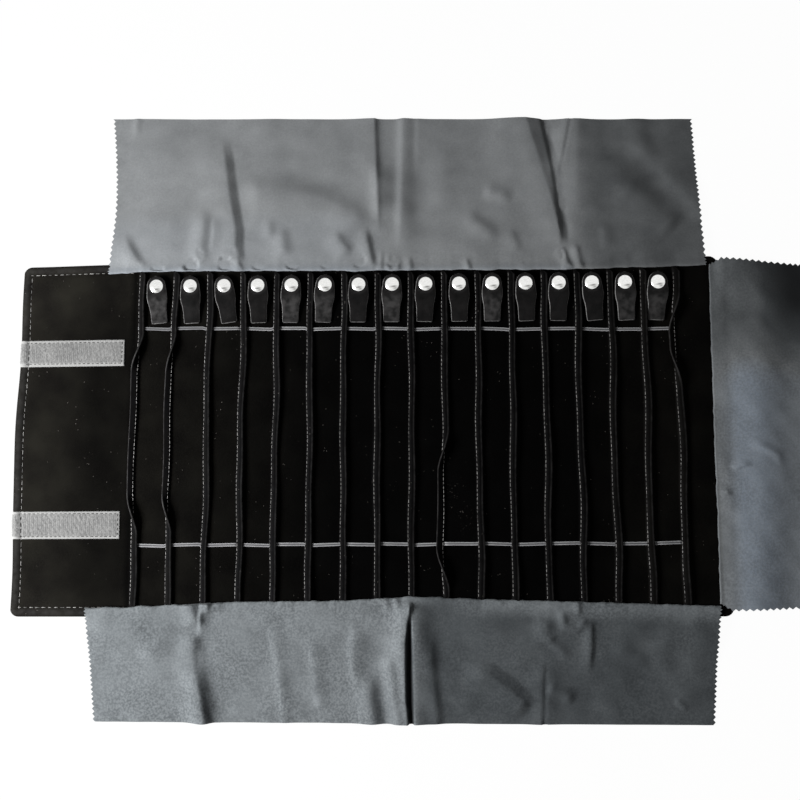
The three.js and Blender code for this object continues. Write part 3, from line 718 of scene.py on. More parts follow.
LINING_NODES = (
    ("closure_lining", "left_lining", "left_padding"),
    ("middle_lining", "middle_padding"),
    ("right_lining", "right_padding"),
)
COVER_NODES = (("closure_cover", "left_cover"), ("middle_cover",), ("right_cover",))
for third, part in enumerate(parts_between([0, *cut_columns, len(columns) - 1])):
    points = lining[:, part]
    attributes = {name: mark[:, part] for name, mark in lining_marks.items()}
    piece = make_object(f"velvet_{THIRDS[third]}", points, grid_faces(*points.shape[:2]), VELVET, attributes)
    turned_over(piece)
    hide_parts(*LINING_NODES[third])

COVER_COUNTS = (14, 14, 16, 14, 14, 12, 14, 14, 20)
first_cut, second_cut = (lining_x[0, c] for c in cut_columns)
cover_stops = (border[-1], *CLOSURE_TURN, first_cut, *MIDDLE_TURN, second_cut, *RIGHT_TURN, -border[-1])
cover_columns = border
for start, end, count in zip(cover_stops, cover_stops[1:], COVER_COUNTS):
    cover_columns = np.concatenate([cover_columns, np.linspace(start, end, count)[1:]])
cover_columns = np.concatenate([cover_columns, -border[-2::-1]])
cover_rows = body_rows(COVER_STEP)
cover_x = np.repeat(cover_columns[None, :], len(cover_rows), 0)
cover_y = cover_rows[:, None] * half_width(cover_x) / HALF_WIDTH
cover = shaped(cover_x, cover_y, under(cover_x, cover_y))
cover_cuts = [int(np.argmin(np.abs(cover_columns - cut))) for cut in (first_cut, second_cut)]
for third, part in enumerate(parts_between([0, *cover_cuts, len(cover_columns) - 1])):
    points = cover[:, part]
    piece = make_object(f"cover_{THIRDS[third]}", points, grid_faces(*points.shape[:2], flip=True), COVER)
    turned_over(piece)
    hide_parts(*COVER_NODES[third])

# Stitching

PLEAT_STITCH = 2.2
PLEAT_STITCH_PITCH = 3.1
EDGE_STITCH = 3.0
EDGE_STITCH_PITCH = 4.5
STITCH_RADIUS = 0.22
STITCH_LIFT = 0.08
EDGE_STITCH_LIFT = 0.1
HEM_STITCH_LOWEST = 0.3
STITCH_SHARE = 0.26  # of the way up a pleat's side
AHEAD = 0.5  # the step along a seam that gives its direction
cut_x = [float(np.mean(lining_x[:, c])) for c in cut_columns]


def third_of(x):
    return int(x > cut_x[0]) + int(x > cut_x[1])


def edge_line(left_only):
    """Places and directions of the stitches round the body's edge."""
    reach = HALF_WIDTH - ROLL_WIDTH
    end = HALF_LENGTH - ROLL_WIDTH
    stop = CLOSURE_FOLD_X if left_only else end
    up_the_side = np.arange(-reach, reach, EDGE_STITCH_PITCH)
    places = [(-end, y, 0, 1) for y in up_the_side]
    for x in np.arange(-end, stop, EDGE_STITCH_PITCH):
        places += [(x, reach, 1, 0), (x, -reach, 1, 0)]
    if not left_only:
        places += [(end, y, 0, 1) for y in up_the_side]
    return places


def sew(name, places, threads):
    """Makes the stitches of each third one piece."""
    for third in range(3):
        points, faces = dashes(places[third], STITCH_RADIUS)
        piece = make_object(f"{name}_{THIRDS[third]}", points, faces, threads[third])
        turned_over(piece)


stitches = [[], [], []]
for k in range(PLEATS):
    first = fold_bottom(SEAMS[k]) + 3
    last = fold_top(SEAMS[k]) - 2
    ys = np.arange(first, last, PLEAT_STITCH_PITCH) + 0.6 * math.sin(3 * k)
    here = np.array(pleat_section(k, ys, (STITCH_SHARE,), ()))
    steps = np.array(pleat_section(k, ys + AHEAD, (STITCH_SHARE,), ())) - here
    leans = pleat_tilt(k, ys) * float(smooth(STITCH_SHARE * PLEAT_LENGTH / PLEAT_BEND))
    for i, y in enumerate(ys):
        side = 0 if leans[i] > 0 else 1
        way = 1 - 2 * side
        x, z = here[:, i, side]
        step_x, step_z = steps[:, i, side]
        up = np.array([-way * math.cos(leans[i]), 0, way * math.sin(leans[i])])
        centre = np.array([x, y, z]) + STITCH_LIFT * up
        stitches[third_of(x)].append((centre, (step_x, AHEAD, step_z), up, PLEAT_STITCH))
for x, y, dx, dy in edge_line(True):
    z = ground(x, y) + EDGE_STITCH_LIFT
    stitches[0].append((shaped(x, y, z), (dx, dy, 0), UP, EDGE_STITCH))
sew("seam_thread", stitches, (PALE_THREAD, RUBBED_THREAD, RUBBED_THREAD))

outside = [[], [], []]
for x, y, dx, dy in edge_line(False):
    z = max(under(x, y) - EDGE_STITCH_LIFT, HEM_STITCH_LOWEST)
    outside[third_of(x)].append((shaped(x, y, z), (dx, dy, 0), (0, 0, -1), EDGE_STITCH))
sew("hem_thread", outside, (DARK_THREAD, DARK_THREAD, DARK_THREAD))

# Elastic bands

BAND_HALF = 1.2
BAND_Z = 3.8
BAND_STEP = 2.5
BAND_TURN_COUNT = 10  # closer steps where the band turns over a fold
BAND_PROFILE = (
    (-1.0, -0.24), (-1.0, 0.14), (-0.8, 0.3), (-0.5, 0.3), (-0.24, 0.12), (0.0, 0.06), (0.24, 0.12),
    (0.5, 0.3), (0.8, 0.3), (1.0, 0.14), (1.0, -0.24), (0.4, -0.3), (-0.4, -0.3),
)
BAND_CORD = (0.7, 1, 1, 1, 0, 0, 0, 1, 1, 1, 0.7, 0, 0)  # round the profile, the cords along its two edges
BAND_SOIL = {"upper": 0.5, "lower": 0.0}  # how dull the bands are at their left end
BAND_LINES = {"upper": (78.7, -0.01663), "lower": (-78.7, 0.0)}
BAND_MIDDLE = 27.7


def band_place(name, x):
    """Y and Z of a band, which sways from lane to lane and rises between the pleats."""
    middle, slope = BAND_LINES[name]
    lane = np.interp(x, SEAMS, range(PLEATS))
    number = np.floor(lane)
    slant = 0.9 * np.sin(number * 1.9 + len(name))
    sway = 0.3 * np.sin(number * 2.3 + len(name)) + slant * (lane - number - 0.5)
    y = middle + slope * (x - BAND_MIDDLE) + sway
    z = BAND_Z + 0.18 * np.sin(math.pi * (lane - number)) ** 2
    return y, z


band_ends = [SEAMS[0], *cut_x, SEAMS[-1]]
profile = np.array(BAND_PROFILE)
count = len(profile)
for name in BAND_LINES:
    for third, (start, end) in enumerate(zip(band_ends, band_ends[1:])):
        stops = [np.linspace(start, end, int((end - start) / BAND_STEP))]
        for turn in (CLOSURE_TURN, MIDDLE_TURN, RIGHT_TURN):
            if start < turn[0] < end:
                stops.append(np.linspace(*turn, BAND_TURN_COUNT))
        xs = np.unique(np.concatenate(stops).round(3))
        ys, zs = band_place(name, xs)
        around_y = ys[:, None] + BAND_HALF * profile[:, 0]
        around_z = zs[:, None] + profile[:, 1]
        points = np.stack([np.repeat(xs[:, None], count, 1), around_y, around_z], 2)
        faces = grid_faces(len(xs), count, flip=True, around=True)
        faces.append(list(range(count)))
        faces.append(list(range((len(xs) - 1) * count, len(xs) * count))[::-1])
        clean = 1 - BAND_SOIL[name] * smooth((-40 - xs) / 110)
        cord = {"cord": np.outer(clean, BAND_CORD)}
        piece = make_object(f"elastic_{name}_{THIRDS[third]}", points, faces, ELASTIC, cord)
        if third == 0:
            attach(piece, "left_section")
        else:
            turned_over(piece)
        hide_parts(f"{SECTIONS[third]}_elastic_{name}")

# Leather tabs, their caps and the studs under them

RUBBED_SHEEN_TABS = (0, 4, 5, 7, 10, 14, 15)  # the lanes whose tabs are painted paler along their tails: rubbing and a painted sheen
SNAP_SHIFT = 1.0  # right of the middle of the lane
FIRST_SNAP_Y = 113.4
LAST_SNAP_Y = 110.2
SECTION_LANES = 6  # in the left and middle sections, the right one has the rest
TAB_HEAD = 7.8
TAB_TAIL = 28.0
TAB_THICK = 1.1
TAB_FLAT = 7.0
TAB_TOP_Z = 5.75
TAB_TAIL_Z = 3.25
TAB_CROWN = 0.14
TAB_EDGE_DROP = 0.12
TAB_RUB_AND_SHEEN = 0.06
WORN_TAB_RUB_AND_SHEEN = 0.8
DENT_RADIUS = 6.2  # of the ring that the cap presses into the leather
DENT_WIDTH = 0.9
TAB_ROWS = (
    -28, -27.6, -27, -26, -23.5, -21, -18, -15, -12, -9.5, -7.5, -6, -4.5, -3, -1, 1, 3, 4.5, 5.6,
    6.5, 7.2, 7.55, 7.75,
)
TAB_SHARES = (-1.0, -0.93, -0.84, -0.6, -0.3, 0.0, 0.3, 0.6, 0.84, 0.93, 1.0)
TAB_TILTS = (5.0, 2.5, 8.0, 1.5, -2.0, -3.5, -1.5, -1.5, -2.0, 0.5, -0.5, 1.5, -1.5, 4.5, 2.0, -3.5)
TAB_OUTLINE = ((-28.0, 5.9), (-16.0, 6.3), (-12.5, 7.2), (-8.5, 7.7), (-4.0, 7.4), (0.0, 6.95))
CAP_PROFILE = (
    (0, 8.6), (0.8, 8.58), (1.5, 8.53), (2.1, 8.46), (2.6, 8.38), (3.0, 8.29), (3.4, 8.17), (3.8, 8.02),
    (4.2, 7.83), (4.5, 7.65), (4.8, 7.45), (5.0, 7.28), (5.15, 7.12), (5.3, 6.9), (5.22, 6.8), (2.0, 6.75),
    (2.0, 5.78), (4.0, 5.75), (4.2, 5.6), (4.2, 4.2), (4.0, 3.9), (3.7, 3.8), (2.9, 3.8), (2.65, 3.95),
    (2.6, 5.2), (0, 5.2),
)
CAP_EDGE_Z = 6.9
STUD_PROFILE = (
    (0, 4.9), (1.3, 4.85), (2.0, 4.6), (2.3, 4.25), (2.1, 3.95), (1.95, 3.75), (2.1, 3.6), (3.3, 3.5),
    (3.8, 3.35), (4.0, 3.1), (3.6, 2.7), (0, 2.7),
)
STUD_SIDES = 28


def tab_width(v):
    """Half the tab's width: round over the head, widest under the snap, and narrower along the tail."""
    if v > 0:
        return TAB_OUTLINE[-1][1] * math.sqrt(max(1 - (v / TAB_HEAD) ** 2, 0.0))
    corner = max(0.0, 1.0 - (v + TAB_TAIL))
    return float(np.interp(v, *zip(*TAB_OUTLINE))) - (1 - math.sqrt(max(1 - corner**2, 0.0)))


def tab_height(v):
    """Height of a tab's underside, from its sewn end up to the stud and over it."""
    rise = float(smooth((v + TAB_TAIL) / (TAB_TAIL - TAB_FLAT)))
    droop = 0.3 * float(smooth((v - 5.0) / 3.0))
    return TAB_TAIL_Z + (TAB_TOP_Z - TAB_TAIL_Z) * rise - droop


def painted_reflection(points, centre, lane):
    """A painted reflection: a dark mark on the lower side of a cap's dome, where the dark leather would be
    mirrored.
    """
    points = np.array(points, float)
    dx = points[:, 0] - centre[0] - 0.9 - 0.7 * math.sin(lane * 1.9)
    dy = points[:, 1] - centre[1] + 2.4 + 0.3 * math.cos(lane * 2.3) - 0.12 * dx
    mark = np.exp(-((dx / 2.3) ** 2) - (dy / 0.55) ** 2)
    mark = np.maximum(mark, 0.7 * np.exp(-(((dx - 1.2) / 1.5) ** 2) - ((dy + 1.3) / 0.8) ** 2))
    return 0.9 * mark * (points[:, 2] > CAP_EDGE_Z)


def snap_centre(lane):
    middle = (SEAMS[lane] + SEAMS[lane + 1]) / 2
    return middle + SNAP_SHIFT, FIRST_SNAP_Y + (LAST_SNAP_Y - FIRST_SNAP_Y) * lane / (LANES - 1)


studs = [[], [], []]
tab_shape = (len(TAB_ROWS), len(TAB_SHARES))
for lane in range(LANES):
    centre = snap_centre(lane)
    number = f"{lane + 1:02d}"
    turn = math.radians(TAB_TILTS[lane])
    rub_and_sheen = WORN_TAB_RUB_AND_SHEEN if lane in RUBBED_SHEEN_TABS else TAB_RUB_AND_SHEEN
    grid = np.zeros((*tab_shape, 3))
    marks = {name: np.zeros(tab_shape) for name in ("edge", "pressed", "rub_and_sheen")}
    marks["edge"][:, [0, -1]] = 1
    marks["edge"][[0, -1], :] = 1
    for i, v in enumerate(TAB_ROWS):
        # The tails carry the rubbing and the painted sheen
        marks["rub_and_sheen"][i] = rub_and_sheen * smooth((-3 - v) / 10)
        for j, share in enumerate(TAB_SHARES):
            u = share * tab_width(v)
            x = u * math.cos(turn) - v * math.sin(turn)
            y = u * math.sin(turn) + v * math.cos(turn)
            crown = TAB_CROWN * (1 - share**2) - (TAB_EDGE_DROP if abs(share) == 1 else 0.0)
            marks["pressed"][i, j] = 0.7 * bell(math.hypot(u, v) - DENT_RADIUS, DENT_WIDTH)
            grid[i, j] = (centre[0] + x, centre[1] + y, tab_height(v) + TAB_THICK + crown)
    points, faces = shell(grid, TAB_THICK)
    both = {name: np.tile(mark.ravel(), 2) for name, mark in marks.items()}
    tab = make_object(f"tab_{number}", points, faces, LEATHER, both)
    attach(tab, f"strap_{number}")
    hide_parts(f"snap_strap_{number}")
    points, faces = revolved(CAP_PROFILE, centre)
    cap = make_object(f"cap_{number}", points, faces, METAL, {"painted_reflection": painted_reflection(points, centre, lane)})
    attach(cap, f"strap_{number}")
    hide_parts(f"snap_cap_{number}")
    studs[min(lane // SECTION_LANES, 2)].append(revolved(STUD_PROFILE, centre, STUD_SIDES))
for name, turned in zip(SECTIONS, studs):
    piece = make_object(f"snap_studs_{name}", *joined(turned), METAL)
    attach(piece, f"{name}_section")

# Loop tapes on the closure panel and hook tapes outside the middle section

TAPE_Y = 64.0
TAPE_HALF = 10.0
TAPE_LIFT = 0.75
TAPE_THICK = 0.7
TAPE_PILE = 0.3
TAPE_EDGE_DROP = 0.3
TAPE_STITCH = 2.0
TAPE_STITCH_PITCH = 3.4
TAPE_STITCH_RADIUS = 0.25
TAPE_STITCH_Z = CLOSURE_TOP + 0.85
SELVEDGE = 2.0
LOOP_X = (-260.0, -181.0)
# Each loop tape's name, side, width of selvedge and height of tufts
LOOP_TAPES = (("upper", 1, SELVEDGE, 0.12), ("lower", -1, 1.6, 0.18))
LOOP_GRID = (106, 29)
HOOK_GRID = (40, 17)
HOOK_ARC = ((0.0, 0.0), (0.0, 0.22), (0.1, 0.36), (0.26, 0.4), (0.38, 0.3))
HOOK_BASE = 0.42
HOOK_PITCH = 1.7
HOOK_WIRE = 0.09


def tape_grid(ends, y, counts):
    return np.meshgrid(np.linspace(*ends, counts[0]), np.linspace(y - TAPE_HALF, y + TAPE_HALF, counts[1]))


for name, side, selvedge, tuft in LOOP_TAPES:
    middle = TAPE_Y * side
    gx, gy = tape_grid(LOOP_X, middle, LOOP_GRID)
    from_side = np.minimum(LOOP_X[1] - gx, TAPE_HALF - np.abs(gy - middle))
    inset = np.minimum(gx - LOOP_X[0], from_side)
    woven = 1 - smooth((from_side - selvedge) / 0.6)
    nap_and_painted_light = tuft * ripple(gx, gy, 2.3, 11 + side) + tuft * ripple(gx, gy, 1.1, 12 + side)
    dropped = TAPE_EDGE_DROP * (1 - smooth(inset / 0.7))
    z = CLOSURE_TOP + TAPE_LIFT + (TAPE_PILE + nap_and_painted_light) * (1 - woven) - dropped
    lift = np.maximum(ground(gx, gy) - CLOSURE_TOP, -0.6) * smooth((LOOP_X[1] - gx) / 5)
    points, faces = shell(np.stack([wavered(gx, gy), gy, z + lift], 2), TAPE_THICK)
    tape = make_object(f"loop_tape_{name}", points, faces, LOOP_TAPE, {"edge": np.tile(woven.ravel(), 2)})
    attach(tape, "closure_panel")
    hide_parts(f"loop_strip_{name}")
    places = []
    for line in (-1, 1):
        y = middle + line * (TAPE_HALF - selvedge)
        for x in np.arange(LOOP_X[0] + 4, LOOP_X[1] - 2, TAPE_STITCH_PITCH):
            places.append(((x, y, TAPE_STITCH_Z), (1, 0, 0), UP, TAPE_STITCH))
    for y in np.arange(middle - TAPE_HALF + 3.6, middle + TAPE_HALF - 2.5, TAPE_STITCH_PITCH):
        places.append(((LOOP_X[1] - selvedge, y, TAPE_STITCH_Z), (0, 1, 0), UP, TAPE_STITCH))
    hem_x = LOOP_X[0] + ROLL_WIDTH
    for y in np.arange(middle - TAPE_HALF + 1.5, middle + TAPE_HALF - 1.0, EDGE_STITCH_PITCH):
        places.append(((wavered(hem_x, y), y, CLOSURE_TOP + 1.0), (0, 1, 0), UP, EDGE_STITCH))
    thread = make_object(f"loop_tape_thread_{name}", *dashes(places, TAPE_STITCH_RADIUS), DARK_THREAD)
    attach(thread, "closure_panel")


def hook(x, y, way):
    """One small hook hanging under the tape, a square wire bent over at its tip."""
    points = []
    for reach, drop in HOOK_ARC:
        for dx, dy in SQUARE:
            points.append((x + way * reach + dx * HOOK_WIRE, y + dy * HOOK_WIRE, HOOK_BASE - drop))
    faces = grid_faces(len(HOOK_ARC), 4, flip=way > 0, around=True)
    faces.append(list(range(len(points) - 4, len(points))))
    return points, faces


hook_low, hook_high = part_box("hook_strip_upper")
HOOK_X = (hook_low.x / MM, hook_high.x / MM)
for name, side in (("upper", 1), ("lower", -1)):
    middle = TAPE_Y * side
    gx, gy = tape_grid(HOOK_X, middle, HOOK_GRID)
    inset = np.minimum(np.minimum(gx - HOOK_X[0], HOOK_X[1] - gx), TAPE_HALF - np.abs(gy - middle))
    woven = 1 - smooth((inset - SELVEDGE) / 0.6)
    upper_face = np.stack([gx, gy, np.full(gx.shape, COVER_UNDER)], 2)
    hooks = [shell(upper_face, COVER_UNDER - HOOK_BASE)]
    for i, x in enumerate(np.arange(HOOK_X[0] + 3, HOOK_X[1] - 2.5, HOOK_PITCH)):
        for y in np.arange(middle - TAPE_HALF + 3, middle + TAPE_HALF - 2.5, HOOK_PITCH):
            hooks.append(hook(x, y, 1 if i % 2 else -1))
    points, faces = joined(hooks)
    edge = np.zeros(len(points))
    edge[: 2 * gx.size] = np.tile(woven.ravel(), 2)
    tape = make_object(f"hook_tape_{name}", points, faces, HOOK_TAPE, {"edge": edge})
    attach(tape, "middle_section")
    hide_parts(f"hook_strip_{name}")

# Dust cloths: each runs from its seam on the lining over the body's edge and down to the floor

CLOTH = 0.45
CLOTH_STEP = 1.2
PINK_PITCH = 3.7
PINK_DEPTH = 1.6
FLOOR_Z = 0.6
LOWEST_Z = 0.5
CAP_CEILING = 4.1
DESCENT_STEPS = 20
GATHERS = ((0.35, 19, 2), (0.2, 8, 3))  # height, wavelength and seed of the gathers along a fold
GATHER_DEPTH = 0.8
GATHER_LIFT = 0.45
WAVES = ((0.3, 60, 0), (0.14, 17, 1))  # height, wavelength and seed of the waves all over a flap
OVER_FROM = 12  # the first point of a flap's section that lies past its fold
FLAP_LEFT = -196.0
FLAP_RIGHT = 251.0
TOP_REACH = 242.0 - 123.2
TOP_END = (242.6, 0.0281)  # where the top flap ends at x = 0, and how that falls to the right
BOTTOM_REACH = 85.0
BOTTOM_END = 204.0
SIDE_REACH = 46.0  # how far in from a flap's sides their slant reaches
END_HALF = 126.5
END_SLANT = 0.0115
END_REACH = 107.3
CORNER_SHARE = 0.08
# How a flap lies after its fold, as (outward, height): puffed up, low under the snaps, or flat
PUFFED = ((2.6, 5.78), (3.8, 5.55), (5.0, 5.24), (6.5, 4.84), (8.0, 4.48), (9.5, 4.14), (11.0, 3.85))
LOW = ((2.0, 4.8), (3.0, 4.52), (4.2, 4.15), (5.6, 3.8), (7.2, 3.56), (9.5, 3.4), (12.0, 3.3))
FLAT = ((2.0, 4.93), (3.2, 4.88), (4.6, 4.8), (6.2, 4.68), (8.0, 4.52), (10.0, 4.32), (12.0, 4.1))
# The radius of the fold, the height of its middle, how the flap lies after it, and the way down to the floor
PUFFED_FOLD = (1.35, 4.5, PUFFED, 36.0)
LOW_FOLD = (0.95, 4.0, LOW, 44.0)
FLAT_FOLD = (0.85, 4.1, FLAT, 48.0)


def cloth_path(radius, middle, over, descent):
    """Points (outward, height) of a flap's section, from under its fold to the floor."""
    path = [(4.2, 3.25), (2.6, middle - radius)]
    for degrees in range(-90, 91, 18):
        a = math.radians(degrees)
        path.append((radius * (1 - math.cos(a)), middle + radius * math.sin(a)))
    path += over
    start, top = over[-1]
    for share in np.arange(1, DESCENT_STEPS + 1) / DESCENT_STEPS:
        path.append((start + descent * share, FLOOR_Z + (top - FLOOR_Z) * (1 - smooth(share))))
    return np.array(path, float)


def flank(offset, width, power):
    """The share of a ridge's height left at an offset from it. Power 0 is a straight slope."""
    share = np.abs(offset) / width
    return np.clip(1 - share, 0, 1) if power == 0 else np.exp(-(share**power))


def crease_lift(x, y, line, height, near, far, ends=(0.25, 0.25), powers=(2, 2)):
    """A ridge along a line. Its sides fall away over near and far, on the left and right of its way."""
    line = np.array(line, float)
    steps = np.diff(line, axis=0)
    lengths = np.linalg.norm(steps, axis=1)
    starts = np.concatenate([[0], np.cumsum(lengths)])
    best = np.full(x.shape, 1e9)
    offset = np.zeros(x.shape)
    share = np.zeros(x.shape)
    for i, (step, length) in enumerate(zip(steps, lengths)):
        dx = x - line[i, 0]
        dy = y - line[i, 1]
        along = (dx * step[0] + dy * step[1]) / length
        cross = (dx * step[1] - dy * step[0]) / length
        held = np.clip(along, 0, length)
        distance = np.hypot(cross, along - held)
        closer = distance < best
        best = np.where(closer, distance, best)
        offset = np.where(closer, np.sign(cross) * distance, offset)
        share = np.where(closer, (starts[i] + held) / starts[-1], share)
    fade = 1.0
    if ends[0]:
        fade = fade * smooth(share / ends[0])
    if ends[1]:
        fade = fade * smooth((1 - share) / ends[1])
    return height * fade * np.where(offset < 0, flank(offset, near, powers[0]), flank(offset, far, powers[1]))


# Each crease: a line, its height, its widths on the left and right of its way, how far in from its ends
# it rises, and how round (2), sharp (1) or straight (0) its two sides are. Most run towards the viewer,
# so that the lamp is on their right.
SHARP = (1, 2)
STRAIGHT = (0, 2)
TOP_CREASES = (
    (((-111, 234), (-107, 213), (-103, 183), (-98, 157), (-97, 130)), 2.7, 6.3, 16, (0.25, 0.06), STRAIGHT),
    (((-186, 157), (-179, 143), (-170, 128)), 2.3, 4, 10, (0.5, 0)),
    (((-122, 176), (-124, 152), (-125, 128)), 2.4, 6, 8, (0.3, 0)),
    (((-114, 169), (-114, 154), (-116, 137)), 0.8, 5, 2, (0.3, 0.3)),
    (((-97, 186), (-61, 186), (-32, 178), (-11, 167), (4, 153)), 3.0, 10, 18, (0.15, 0.15)),
    (((8, 243), (9, 210), (10, 180), (11, 151)), 2.2, 2.6, 20, (0, 0.25), SHARP),
    (((10, 212), (12, 185), (13, 160)), 3.4, 14, 6, (0.4, 0.3)),
    (((-1, 160), (2, 144), (6, 124)), 2.0, 3, 7, (0.4, 0)),
    (((30, 242), (29, 190), (27, 135)), 2.0, 9, 4, (0, 0.3)),
    (((42, 241), (41, 193)), 0.7, 8, 3, (0, 0.5)),
    (((-73, 167), (-72, 145)), 1.0, 4, 5, (0.4, 0.4)),
    (((-64, 160), (-60, 133)), 1.4, 5, 6, (0.4, 0.3)),
    (((-26, 155), (-18, 144), (-10, 134)), 1.7, 4.5, 8, (0.4, 0.3)),
    (((-176, 247), (-178, 230)), 0.8, 3, 3, (0, 0.6)),
    (((122, 240), (129, 216), (137, 187), (141, 172)), 4.2, 14, 22, (0, 0.6), STRAIGHT),
    (((134, 202), (139, 183), (146, 150), (146, 138)), 2.2, 5.5, 14, (0.5, 0.15), STRAIGHT),
    (((135, 240), (139.5, 216), (144.5, 187), (147.5, 152), (147, 136)), -1.0, 6, 1.4, (0, 0.2)),
    (((155, 240), (150, 216), (145, 193)), 1.7, 2, 6, (0, 0.3), SHARP),
    (((159, 240), (154, 216), (149, 195)), 1.1, 8, 2.5, (0, 0.3)),
    (((163, 236), (160, 158)), 1.2, 12, 6, (0, 0.4)),
    (((170, 213), (200, 182), (231, 149)), 2.2, 11, 12, (0.4, 0.1)),
    (((194, 227), (227, 195), (252, 164)), 1.6, 12, 7, (0.3, 0)),
    (((107, 155), (115, 134)), 0.9, 4, 7, (0.4, 0.3)),
    (((178, 160), (179, 133)), 0.8, 6, 3, (0.4, 0.4)),
    (((88, 183), (95, 182), (113, 177)), 1.4, 6, 5, (0.3, 0.4)),
    (((74, 168), (81, 161), (101, 144)), 1.5, 6, 7, (0.3, 0.3)),
    (((60, 225), (58, 190), (64, 160)), 1.2, 12, 12, (0.3, 0.4)),
    (((205, 240), (208, 215), (212, 200)), 1.2, 8, 10, (0, 0.5)),
)
BOTTOM_CREASES = (
    (((-124.5, -140), (-125, -155), (-123.5, -168), (-120, -180), (-116, -203)), 3.2, 5.5, 9, (0.1, 0)),
    (((-123, -163), (-119, -182), (-115, -203)), 2.8, 4.5, 12, (0.4, 0)),
    (((-119, -148), (-118, -166), (-115.5, -176), (-112, -188), (-107, -203)), 0.7, 6, 1.5, (0.2, 0)),
    (((-67, -132), (-63, -164), (-58, -202)), 1.2, 6, 3.5, (0.2, 0)),
    (((-40, -139), (-36, -169), (-32, -197)), 1.1, 6, 4, (0.3, 0.1)),
    (((-6, -132), (-9, -152), (-8, -170), (-4, -185)), 1.8, 8, 4, (0.3, 0.4)),
    (((3, -165), (2, -186), (5, -202)), 4.0, 7, 9, (0.5, 0)),
    (((15, -152), (18, -171), (19, -186), (22, -202)), 2.6, 4, 5, (0.3, 0)),
    (((31.6, -117), (28.6, -146), (28, -164), (28.6, -188), (30, -202)), 5.0, 1.7, 9, (0.04, 0)),
    (((32.6, -117), (33.6, -146), (33.4, -188), (34, -202)), 4.0, 11, 1.5, (0.05, 0)),
    (((47, -135), (46, -160), (48, -180), (50, -202)), 1.6, 4, 6, (0.4, 0)),
    (((67, -166), (87, -170), (103, -181), (117, -194)), 2.9, 8, 10, (0.3, 0.15), STRAIGHT),
    (((126, -160), (124, -201)), 1.6, 2, 8, (0.2, 0), SHARP),
    (((130, -162), (128, -201)), 1.0, 7, 2, (0.3, 0)),
    (((159, -130), (159, -152), (157, -172)), 1.7, 2.5, 5, (0.2, 0.4)),
    (((127, -179), (140, -183), (147, -190)), 2.0, 5, 4, (0.2, 0.3)),
    (((128, -143), (132, -148), (146, -160)), 1.3, 4, 3, (0.2, 0.4)),
    (((128, -130), (127, -142), (130, -150)), 1.8, 5, 7, (0.3, 0.3)),
    (((172, -149), (180, -153), (204, -163)), 1.2, 6, 6, (0.3, 0.4)),
    (((216, -186), (226, -195)), 0.8, 2.5, 2.5, (0.3, 0.4)),
    (((205, -140), (209, -158), (206, -172)), 1.1, 8, 8, (0.4, 0.4)),
    (((-165, -160), (-150, -150), (-136, -152)), 1.1, 7, 8, (0.4, 0.4)),
)
END_CREASES = (
    (((292, 110), (287, 23), (286, -49), (280, -121)), 2.6, 22, 16, (0.25, 0)),
    (((268, 126), (298, 98), (340, 66)), 3.0, 26, 16, (0, 0.3)),
    (((262, -27), (269, -24), (277, -23)), 1.5, 3, 1.6, (0.3, 0.4)),
    (((253, -44), (261, -43)), 1.3, 2.5, 1.5, (0.1, 0.4)),
    (((274, -6), (294, -16), (300, -30)), 1.0, 4, 2.5, (0.3, 0.4)),
)
# Puckers, which start at the very edge of the fold
TOP_PUCKERS = (
    (((145, 140), (152, 121)), 1.5, 2.5, 4, (0.3, 0)),
    (((156, 142), (160, 121)), 1.2, 2.5, 3.5, (0.3, 0)),
    (((75, 133), (78, 121)), 0.9, 2, 3, (0.4, 0)),
    (((-97, 135), (-93, 123)), 1.2, 2, 3.5, (0.4, 0)),
    (((-138, 131), (-136, 123)), 0.7, 2, 3, (0.4, 0)),
    (((-57, 131), (-53, 122)), 0.9, 2, 3.5, (0.4, 0)),
    (((13, 140), (12, 121)), 0.7, 1.6, 2.4, (0.4, 0)),
    (((18, 138), (18, 121)), 0.7, 1.6, 2.4, (0.4, 0)),
    (((24, 136), (25, 121)), 0.8, 1.8, 2.6, (0.4, 0)),
    (((33, 134), (35, 121)), 0.8, 1.8, 3, (0.4, 0)),
)
BOTTOM_PUCKERS = (
    (((-126, -117), (-123, -128), (-120.5, -138)), 3.4, 6, 8, (0, 0.3), STRAIGHT),
    (((-117.5, -117), (-119.5, -136), (-121, -146)), 1.9, 5, 0.9, (0, 0.4)),
    (((-113.5, -117), (-112, -128)), 2.6, 4.5, 3, (0, 0.4), STRAIGHT),
    (((-107.5, -117), (-110.5, -128)), 1.4, 6, 0.9, (0, 0.4)),
    (((13, -114), (18, -128)), 0.9, 2, 3, (0, 0.4)),
    (((21, -113), (25, -128)), 1.0, 2, 3, (0, 0.4)),
    (((138, -124), (141, -136), (150, -138), (158, -131)), 1.7, 3, 3, (0.2, 0.2)),
    (((150, -116), (151, -130)), 1.2, 2, 3, (0, 0.4)),
    (((-155, -119), (-153, -128)), 0.7, 2, 3, (0, 0.5)),
    (((95, -115), (97, -124)), 0.7, 2, 3, (0, 0.5)),
)


